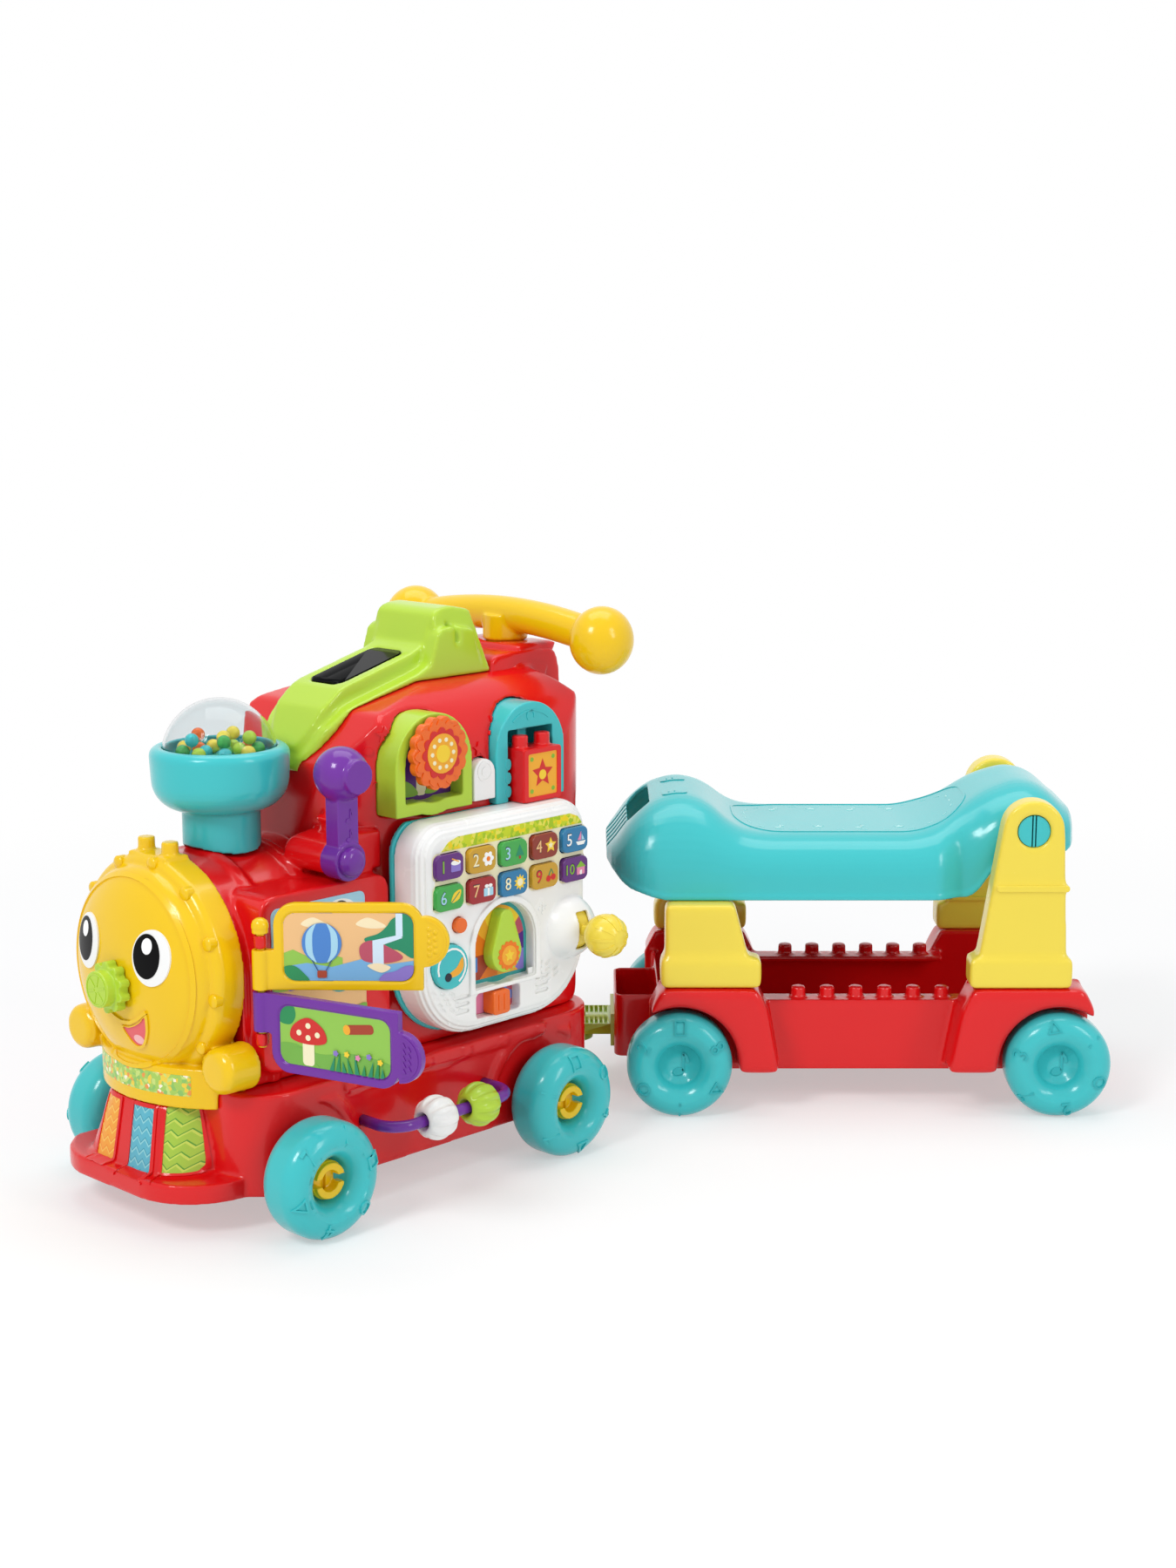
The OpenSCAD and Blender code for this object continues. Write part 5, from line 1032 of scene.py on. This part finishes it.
def cab_details():
    shell = Pile()
    shapes = [star(-206, 335, 6), star(-295, 356, 6.5), ellipse(-306, 344, 3)]
    for loop in note(-188, 351, 15) + shapes + note(-300, 322, 12):
        shell.drape([loop], BESIDE, "upper_shell", 1.5, RED, 2)
    frame_line = [panel(92, 150, 300, 352, 22, 8), panel(94.5, 152.5, 297.5, 349.5, 19.5, 8)]
    shell.drape(frame_line, FAR_SIDE, "upper_shell", 1.4, RED, 4)
    shapes = [star(250, 310, 13), star(196, 250, 20), ellipse(255, 200, 8)]
    for loop in note(140, 305, 26) + shapes + note(150, 200, 22):
        shell.drape([loop], FAR_SIDE, "upper_shell", 1.4, RED, 3)
    shell.piece("shell_marks", "upper_shell")
    back = Pile(BESIDE, "printed_cards")
    back.lay([panel(-267, 305, -257, 322, 3)], 0.3, "cream")
    back.lay([blob([(-266, 306), (-280, 306), (-287, 314), (-279, 318), (-270, 313)])], 0.5, "leaf")
    back.lay([blob([(-258, 306), (-246, 306), (-238, 314), (-246, 317), (-254, 312)])], 0.5, "leaf")
    back.lay([panel(-238, 320, -231, 336, 1)], 0.3, "lilac")
    back.piece("window_print")
    disc = Pile(BESIDE, "light_button")
    disc.lay([flower(*DISC_AT, 27.5, 16, 0.18)], 0.9, ORANGE, 3)
    disc.lay([flower(*DISC_AT, 20.5, 12, 0.16)], 1.5, "red", 3)
    disc.lay([ellipse(*DISC_AT, 15.5)], 2.1, "amber", 3)
    disc.lay([ellipse(*DISC_AT, 7)], 2.8, "yellow", 3)
    for k in range(10):
        disc.lay([ellipse(*polar(*DISC_AT, 11, 36 * k), 1.7, n=10)], 2.5, "cream")
    disc.printed("disc_flower")
    knob = Pile(BESIDE, "door_key")
    knob.lay([ellipse(*DOOR_KEY_AT, 8), ellipse(*DOOR_KEY_AT, 6.6)], 0.6, WHITE)
    knob.lay([ellipse(*DOOR_KEY_AT, 3.6)], 0.7, WHITE)
    knob.piece("door_key_ring")
    niche = Pile(BESIDE, "block_niche")
    for v in (298, 309, 320):
        niche.flat([ellipse(-180.5, v, 3.2, 4.6, 20)], on_side(NICHE_FACE), -12, 0.3, TEAL)
    niche.lay([stroke(arc(-155, 330, 31, 50, 130), 1.6)], 0.6, TEAL)
    niche.lay([stroke(arc(-155, 357, 4, -30, 230), 1.4)], 0.6, TEAL)
    niche.piece("niche_marks")
    block = Pile(on_side(BLOCK_FACE), "letter_block")
    card = panel(-171.3, 293.5, -138.7, 328.5, 1.5)
    block.level([panel(-175.6, 289.7, -134.4, 331.9, 2), card], -0.6, 0.9, RED)
    block.level([card], -0.6, 0.2, "amber")
    block.level([star(-155, 311.5, 12)], 0.1, 0.4, "red")
    block.level([ellipse(-155, 310.5, 4)], 0.1, 0.5, "yellow")
    for u, v in ((-167, 324), (-143, 324), (-167, 298), (-143, 298)):
        block.level([ellipse(u, v, 1.8)], 0.1, 0.4, "leaf")
    block.printed("block_card")
    lever = Pile(BESIDE, "side_lever")
    for loop in note(-351, 304, 10) + note(-351, 289, 9):
        lever.lay([loop], 0.5, PURPLE, 2)
    lever.piece("lever_marks")


# Details of the control panel

DIAL_AT, MEDAL_AT = (-212, 176), (-210.5, 174.5)


def key_signs():
    """Small signs on the keys, about zero, with the ink of each."""
    return [
        [(panel(-5, -4.5, 5, 2.5, 1), "lilac"), (ellipse(0, 2.5, 5, 2), "white"),
         (stroke([(-4, 6), (3, 3)], 1), "amber")],
        [(flower(0, 0, 6, 6, 0.3), "white"), (ellipse(0, 0, 2), "orange")],
        [([(-4.5, -3), (4.5, -3), (0, 6)], "pine"), (panel(-1, -5.5, 1, -3), "rust")],
        [(star(0, 0, 6.5), "yellow"), (star(0, 0, 3), "cream")],
        [([(-5.5, -2), (-3.5, -5), (3.5, -5), (5.5, -2)], "white"), ([(-3.5, -1), (0.3, -1), (0.3, 6)], "pink"),
         ([(1, -1), (4, -1), (1, 4)], "sky")],
        [(blob([(-5, -4), (-2, 3), (5, 5), (3, -2)]), "yellow"), (stroke([(-5, -4), (3.5, 3.5)], 0.8), "pine")],
        [(panel(-5, -5, 5, 1.5, 0.6), "sky"), (panel(-1, -5, 1, 1.5), "white"),
         (ellipse(-2, 3, 2, 1.4), "white"), (ellipse(2, 3, 2, 1.4), "white")],
        [(star(0, 0, 6.5, 10, 0.62), "yellow"), (ellipse(0, 0, 3), "cream")],
        [(ellipse(-2.6, -2.5, 2.6), "red"), (ellipse(2.8, -1.8, 2.6), "red"),
         (stroke([(-2.4, 0), (0.5, 5), (2.6, 1)], 0.8), "pine")],
        [(panel(-4.5, -5, 4.5, 1), "pink"), ([(-5.5, 1), (5.5, 1), (0, 6)], "leaf"),
         (panel(-1.2, -5, 1.2, -1.5), "white")],
    ]


def key_spot(k):
    return -273.8 + 34.6 * (k % 5), 256.6 if k < 5 else 232.1


def key_details():
    front = on_side(KEY_FACE)
    tints = ["leaf", "cream", "sky", "peach", "white", "sky", "peach", "cream", "red", "leaf"]
    for k, signs in enumerate(key_signs()):
        a, z = key_spot(k)
        marks = Pile(front, "number_key_%d" % (k + 1))
        verts, tris = digits(str(k + 1), 14 if k < 9 else 12)
        marks.level(([Vector((v.x * 1.12 + a - 7, v.y * 1.12 + z)) for v in verts], tris), -0.8, 0.15, "dark")
        marks.level(([Vector((v.x + a - 7, v.y + z)) for v in verts], tris), -0.8, 0.3, tints[k])
        for n, (loop, hue) in enumerate(signs):
            marks.level([[(u + a + 6, v + z) for u, v in loop]], -0.8, 0.2 + 0.08 * n, hue)
        marks.printed("key_print_%d" % (k + 1))


def key_card():
    edge = [(-289, 224), (-124, 224), (-122.5, 226), (-122.5, 262), (-124.5, 269), (-129, 274.5), (-138, 278),
            (-262, 278), (-272, 275), (-280, 268), (-284, 260)]
    holes = []
    for k in range(10):
        a, z = key_spot(k)
        holes.append(panel(a - 15, z - 10.5, a + 15, z + 10.5, 4))
    card = Pile(on_side(PANEL_FACE), "control_panel")
    card.level([edge] + holes, -0.5, 0.2, "cream")
    card.level([clip(edge, panel(-300, 268.4, -100, 290))], 0.1, 0.35, TILES)
    card.printed("key_card")


def panel_marks():
    """Rim of the dial window, floor of the speaker slots and a plus of dots."""
    front = on_side(PANEL_FACE)
    bezel = Pile()
    bezel.flat([arch(-212, 149, 78, 74), arch(-212, 152.4, 67.4, 65.2)], front, -0.6, 2.2, WHITE)
    bezel.soft_piece("dial_bezel", "control_panel", 0.7, 8, 0.5)
    floor = Pile(front, "control_panel")
    for u in (-258, -170):
        floor.level([panel(u - 14, 130, u + 14, 158)], -3.4, -2, WHITE)
    floor.piece("speaker_floor")
    plus = Pile(BESIDE, "control_panel")
    for du, dv in ((0, 0), (3.6, 0), (-3.6, 0), (0, 3.6), (0, -3.6)):
        plus.lay([ellipse(-169 + du, 205 + dv, 1.7, n=12)], 0.6, WHITE)
    plus.piece("panel_plus")


def dial_details():
    """Print behind the dial and switch windows, and marks of the parts that move there."""
    dial = Pile(BESIDE, "printed_cards")
    window = arch(-212, 156.5, 59, 57)
    rays = [(-90, -40, "amber"), (-40, -5, "lilac"), (-5, 22, "violet"), (22, 45, "rock"), (45, 68, "yellow"),
            (68, 92, "amber"), (92, 115, "yellow"), (115, 140, "amber"), (140, 180, "orange"),
            (180, 225, "rust"), (225, 270, "orange")]
    for start, end, hue in rays:
        wedge = [DIAL_AT] + arc(*DIAL_AT, 60, start, end, 4)
        dial.lay([clip(wedge, window)], 0.3, hue, 6)
    dial.lay([panel(-239.5, 163, -234, 175, 0.8)], 0.55, "blue", 6)
    for k, hue in enumerate(("pink", "rock", "blue")):
        dial.lay([panel(-242 + 15.6 * k, 129, -227.2 + 15.6 * k, 147)], 0.3, hue, 6)
    dial.piece("dial_print")
    medal = Pile(BESIDE, "dial_pointer")
    medal.lay([flower(*MEDAL_AT, 12, 14, 0.16)], 0.5, "orange")
    medal.lay([ellipse(*MEDAL_AT, 8)], 0.8, "amber")
    medal.lay([star(*MEDAL_AT, 5.5)], 1.1, "yellow")
    medal.printed("pointer_flower")
    grips = Pile(BESIDE, "slide_switch")
    for u in (-222, -216):
        grips.lay([panel(u - 0.8, 131.5, u + 0.8, 144.5)], 0.6, ORANGE)
    grips.piece("switch_ribs")


def button_marks():
    """Print on the melody button and ribs on the lever's ball."""
    tune = Pile(BESIDE, "melody_button")
    tune.lay([stroke(arc(-273, 177, 14.5, -60, 200), 1.6)], 0.3, "white")
    bird = blob([(-276, 172), (-268, 176), (-262, 183), (-261, 175), (-266, 170), (-274, 169)])
    tune.lay([bird], 0.3, "amber")
    tune.lay([ellipse(-277, 169.5, 3.4)], 0.5, "dark")
    tune.printed("tune_print")
    ball = Pile()
    knob = on_side(KNOB_FACE) @ shift(*LEVER_AT, 0)
    rib = arc(0, 0, KNOB_R + 0.5, 5, 66, 12) + arc(0, 0, KNOB_R - 1.2, 66, 5, 12)
    for k in range(10):
        turn = Matrix.Rotation(math.radians(36 * k), 4, "Z") @ Matrix.Rotation(math.pi / 2, 4, "X")
        ball.flat([rib], knob @ turn, -1.2, 1.2, PALE)
    ball.piece("lever_ball_ribs", "ball_lever")


# Details of the pages and the card behind them

def picture(pile, place, layers):
    """Layers of print, each a little higher than the one before."""
    for k, (loop, hue) in enumerate(layers):
        pile.flat([loop], place, -0.3 if k == 0 else 0.07 * k - 0.03, 0.1 + 0.07 * k, hue)


def framed(view, ground, layers):
    """The view in its ground colour, and the layers cut to it."""
    return [(view, ground)] + [(clip(loop, view), hue) for loop, hue in layers]


def upper_scene():
    edge = panel(16.4, 194.9, 112.6, 247.1, 9.6)
    view = panel(17.3, 195.8, 111.7, 246.2, 8.7)
    return [(edge, "navy")] + framed(view, "peach", [
        (blob([(30, 238), (38, 243), (46, 240), (52, 236), (40, 235)]), "cloud"),
        (blob([(70, 238), (78, 243), (87, 240), (92, 236), (80, 235)]), "cloud"),
        ([(16, 194), (16, 216), (24, 219), (34, 214), (46, 217), (60, 213), (60, 194)], "meadow"),
        ([(16, 194), (16, 206), (34, 209), (52, 206), (74, 212), (92, 208), (113, 211), (113, 194)], "lake"),
        (blob([(113, 247), (98, 243), (92, 236), (86, 231), (76, 227), (84, 221), (100, 219),
               (113, 214)]), "pine"),
        (blob([(74, 212), (73, 222), (82, 226), (94, 221), (104, 214), (98, 210), (84, 209)]), "rock"),
        ([(99, 246.5), (104, 246.5), (104, 229), (99, 227)], "fall"),
        ([(82, 226), (100, 230), (104, 228), (90, 223), (90, 205), (82, 206)], "fall"),
        (blob([(78, 207), (86, 209), (95, 206), (88, 202)]), "cloud"),
        (blob([(16, 195), (16, 205), (24, 207), (31, 202), (35, 195)]), "grass"),
        (blob([(88, 195), (90, 201), (98, 203), (106, 207), (113, 206), (113, 195)]), "lilac"),
        (ellipse(45, 224, 14.5, 15, 40), "blue"),
        (blob([(41, 238.6), (34, 231), (34, 217), (41, 209.4), (38.5, 217), (38.5, 231)]), "sky"),
        (blob([(49, 238.6), (56, 231), (56, 217), (49, 209.4), (51.5, 217), (51.5, 231)]), "sky"),
        (panel(41.5, 198, 48.5, 203.5, 1), "rust"),
        (stroke([(38, 211), (42, 203.5)], 0.7), "navy"), (stroke([(52, 211), (48, 203.5)], 0.7), "navy"),
    ])


def lower_scene():
    edge = panel(16.4, 135.4, 112.6, 180.6, 9.6)
    view = panel(17.3, 136.3, 111.7, 179.7, 8.7)
    layers = [
        (blob([(16, 180), (16, 168), (26, 166), (31, 173), (28, 181)]), "grass"),
        (blob([(16, 136), (16, 150), (30, 152), (52, 147), (80, 151), (113, 147), (113, 136)]), "hill"),
        (turned(panel(-12, -3.6, 12, 3.6, 3), 8, 86, 170), "rust"),
        (turned(ellipse(-11, 0, 3, 3.7), 8, 86, 170), "amber"),
        (blob([(24, 136), (28, 148), (38, 149), (46, 141), (50, 136)]), "hill"),
        (panel(37, 137, 47, 156, 3), "cream"),
        (blob([(27, 156), (29, 166), (42, 173), (55, 166), (57, 156), (42, 153)]), "red"),
    ]
    for u, v in ((34, 161), (42, 167), (50, 161), (42, 158)):
        layers.append((ellipse(u, v, 2.2, n=14), "cream"))
    for k in range(9):
        foot, tip = 62 + 5.5 * k, 148 + 4 * math.sin(2.1 * k)
        blade = [(foot - 2, 136), (foot + 2, 136), (foot + 3 * math.cos(k), tip)]
        layers.append((blade, "grass" if k % 2 else "pine"))
    for k, hue in enumerate(("lilac", "yellow", "pink", "lilac", "yellow")):
        layers.append((flower(66 + 9.5 * k, 150 + 3 * math.sin(3 * k), 2.4, 5, 0.35), hue))
    return [(edge, "violet")] + framed(view, "meadow", layers)


def behind_scene():
    view = panel(-421.5, 126.5, -330.5, 242.5, 5)
    return framed(view, "sky", [
        (panel(-422, 126, -330, 200), "peach"),
        (blob([(-415, 224), (-405, 238), (-390, 236), (-380, 226), (-398, 220)]), "white"),
        (blob([(-372, 226), (-362, 239), (-346, 238), (-338, 228), (-354, 221)]), "white"),
        (stroke(arc(-355, 229, 9, 20, 160), 1.2), "dark"), (stroke(arc(-398, 227, 10, 20, 160), 1.2), "dark"),
        (blob([(-422, 196), (-404, 204), (-384, 197), (-362, 205), (-330, 198), (-330, 180),
               (-422, 180)]), "meadow"),
        (blob([(-372, 178), (-360, 196), (-344, 199), (-332, 188), (-340, 172), (-358, 168)]), "teal"),
        (blob([(-352, 170), (-342, 184), (-332, 186), (-330, 166)]), "pine"),
        (panel(-408, 178, -388, 192, 3), "lilac"), (panel(-408, 182, -388, 184), "violet"),
        (panel(-408, 187, -388, 189), "violet"),
        (blob([(-422, 126), (-422, 150), (-396, 156), (-366, 148), (-330, 154), (-330, 126)]), "hill"),
        (flower(-400, 165, 7, 6, 0.3), "pink"), (ellipse(-400, 165, 2.4), "yellow"),
        (flower(-372, 158, 6, 6, 0.3), "orange"), (ellipse(-372, 158, 2), "yellow"),
    ])


def page_details():
    plans = (("page_upper", 47, 188.5, 65, 225.0, upper_scene()),
             ("page_lower", 74, 129.0, 58, 154.0, lower_scene()))
    for node, turn, z, h, tab, layers in plans:
        mat = YELLOW if node == "page_upper" else PURPLE
        prints = Pile()
        picture(prints, on_page(turn, -PAGE_FACE), layers)
        back = on_page(turn, PAGE_FACE) @ OVER
        sky = "sky" if mat == YELLOW else "amber"
        picture(prints, back, [(panel(-112.6, z + 6.4, -16.4, z + h - 6.4, 9.6), sky),
                               (panel(-111.6, z + 7.4, -17.4, z + h / 2, 8.6), "meadow")])
        for k, hue in enumerate(("red", "yellow", "lilac", "orange", "white")):
            place = (-100 + 18 * k, z + h / 2 + 6 * math.sin(2 * k))
            picture(prints, back, [(flower(*place, 7, 6, 0.3), "white"), (flower(*place, 6.6, 6, 0.3), "pink"),
                                   (ellipse(*place, 6.4), hue), (ellipse(*place, 2.2), "cream")])
        prints.printed(node + "_print", node)
        bumps = Pile()
        for way, plane in ((1, on_page(turn, -TAB_FACE)), (-1, on_page(turn, TAB_FACE) @ OVER)):
            rim = [(way * u, v) for u, v in arc(119, tab, 16, -78, 78)]
            bumps.flat([stroke(rim, 1.6)], plane, -0.6, 0.5, mat)
            for i in range(3):
                for j in range(-2, 3):
                    u, v = 123.5 + 4.4 * i, tab + 4.8 * j + (2.4 if i % 2 else 0)
                    if math.hypot(u - 119, v - tab) > 13:
                        continue
                    if mat == YELLOW:
                        spot = plane @ shift(way * u, v, 0)
                        bumps.turn([(1.9, -0.6), (1.9, 0.1), (1.3, 0.6), (0, 0.8)], spot, mat, 12)
                    else:
                        bumps.flat([star(way * u, v, 2.4, 3, 0.5)], plane, -0.6, 0.6, mat)
        bumps.piece(node + "_tab_bumps", node)
    behind = Pile()
    picture(behind, on_side(CARD_FACE), behind_scene())
    behind.piece("side_card_print", "printed_cards")


# Details of the wheels and the wagon

def sign_on(mark, turn, u, v):
    """A raised sign set upright on a wheel's face."""
    if mark == "ring":
        return [ellipse(u, v, 5.6, n=18), ellipse(u, v, 4, n=18)]
    loops = {"box": [panel(-5, -6, 5, 6), panel(-3.4, -4.4, 3.4, 4.4)],
             "fan": [star(0, 0, 7, 3, 0.5), star(0, 0, 4.4, 3, 0.5)]}
    if mark in loops:
        return [turned(loop, turn - 90, u, v) for loop in loops[mark]]
    verts, tris = digits(mark, 17)
    return [Vector(p) for p in turned(verts, turn - 90, u, v)], tris


def wheel_marks():
    rows = {"wagon_wheels_front": (["box", "8", "fan", "1", "ring", "2"], 90),
            "wagon_wheels_rear": (["fan", "1", "ring", "2", "7", "3"], 100)}
    # The wagon's wheel signs take a darker teal than the wheel: painted shade for the shadowed edges of their
    # relief.
    sign = ink("wheel_sign_painted_shade", "#35b0b5")
    for k, corner in enumerate(CORNERS):
        rows["loco_wheel_" + corner] = (["1", "box", "ring", "4", "fan", "7"], 75 + 40 * k)
    for node, (marks, first) in rows.items():
        wagon = "wagon" in node
        tint = sign if wagon else TEAL
        pile = Pile()
        for face in wheel_faces(node):
            plane = face @ shift(0, 0, 20)
            for k, mark in enumerate(marks):
                turn = first - 60 * k
                u, v = polar(0, 0, SIGN_R, turn)
                pile.drape(sign_on(mark, turn, u, v), plane, node, 1.4, tint, 2)
            if wagon:
                for loop in note(0, 1, 19):
                    pile.drape([loop], plane, node, 0.9, tint, 2)
        pile.piece(node + "_marks", node)


def post_ribs():
    ribs = Pile()
    plane = on_side(POST_BACK, WAGON)
    for line in ([(332, 140), (345, 190), (352, 225)], [(334, 142), (398, 142)], [(334, 142), (392, 205)],
                 [(346, 205), (398, 146)], [(400, 140), (396, 200)], [(346, 208), (396, 208)]):
        ribs.flat([stroke(line, 3)], plane, -1, 3, PALE)
    ribs.piece("rear_post_ribs", "rear_posts")


def seat_details():
    above = WAGON @ shift(0, 0, 500)
    pale = ink("seat_print", "#a6e2e1")
    marks = Pile(above, "seat")
    marks.lay([panel(126, -60, 330, 60, 46, 12), panel(127.5, -58.5, 328.5, 58.5, 44.5, 12)], 0.6, TEAL, 4)
    dashes = divided(panel(138, -49, 318, 49, 36, 10), 7)
    for k in range(0, len(dashes) - 1, 3):
        marks.lay([stroke([dashes[k], dashes[k + 1]], 1)], 0.2, pale, 4)
    for k, x in enumerate((165, 200, 235, 270)):
        for y in (-38, 38):
            loops = [star(x, y, 5)] if k % 2 else note(x, y, 12)
            for loop in loops:
                marks.lay([loop], 0.2, pale, 3)
    for y in (-30, 30):
        marks.lay([panel(64, y - 12, 86, y + 12, 6)], 0.8, TEAL, 4)
        for x in (70, 75):
            marks.lay([stroke([(x, y - 6), (x, y + 6)], 1.4)], 1.2, TEAL, 4)
    marks.piece("seat_marks")


# Small parts of the shells, and the inner cards

def card_colour(spot):
    if spot.x < -320:
        return "sky"
    if spot.z > 280:
        return "violet"
    return "teal" if spot.z > 152 else "rock"


BOSS_AT = (-351, 269)


def shell_extras():
    """Saddle under the handle, hinge cap, lever boss, the boiler's front wall and the post rings."""
    saddle = Pile()
    side = blob([(-146, 366), (-144, 388), (-138, 397), (-120, 399), (-84, 399), (-70, 397), (-64, 386),
                 (-62, 366), (-62, 350), (-146, 350)], 4)
    saddle.flat([side], on_side(SADDLE_FACE), 2 * SADDLE_FACE, 0, RED)
    saddle.soft_piece("handle_saddle", "upper_shell", 1.5, 22, 0.3)
    top = max(v.co.z for v in LOOK["hinge_post"].data.vertices)
    cap = Pile()
    crown = [(6.4, -2), (6.4, 0.6), (5.4, 3.2), (3, 5), (0, 5.6)]
    cap.turn(crown, LOCO @ shift(*HINGE, top / MM), YELLOW)
    cap.piece("hinge_post_cap", "hinge_post")
    boss = Pile()
    crown = [(11.5, -2), (11.5, 2.5), (10, 5), (6.5, 6.6), (0, 7)]
    boss.turn(crown, on_side(BOSS_FACE) @ shift(*BOSS_AT, 0), PURPLE, 28)
    boss.piece("lever_boss", "side_lever")
    wall = Pile()
    wall.flat([panel(-80.5, 112, 80.5, 190, 2)], facing(0, WALL_X), -3, 0, RED)
    wall.piece("boiler_front_wall", "upper_shell")
    rings = Pile()
    for base in (WAGON, WAGON @ Matrix.Scale(-1, 4, (0, 1, 0))):
        rings.flat([panel(343, 195.5, 405, 201.5, 2.8)], on_side(POST_FACE, base), -13, 2.6, PALE)
    rings.soft_piece("rear_post_rings", "rear_posts", 0.8, 5, 0.5)


seat_form()
paint_islands(LOOK["printed_cards"], card_colour)
face_details()
cowcatcher_details()
popper_details()
cab_details()
key_details()
key_card()
panel_marks()
dial_details()
button_marks()
page_details()
wheel_marks()
post_ribs()
seat_details()
shell_extras()

scene.view_settings.view_transform = "Standard"
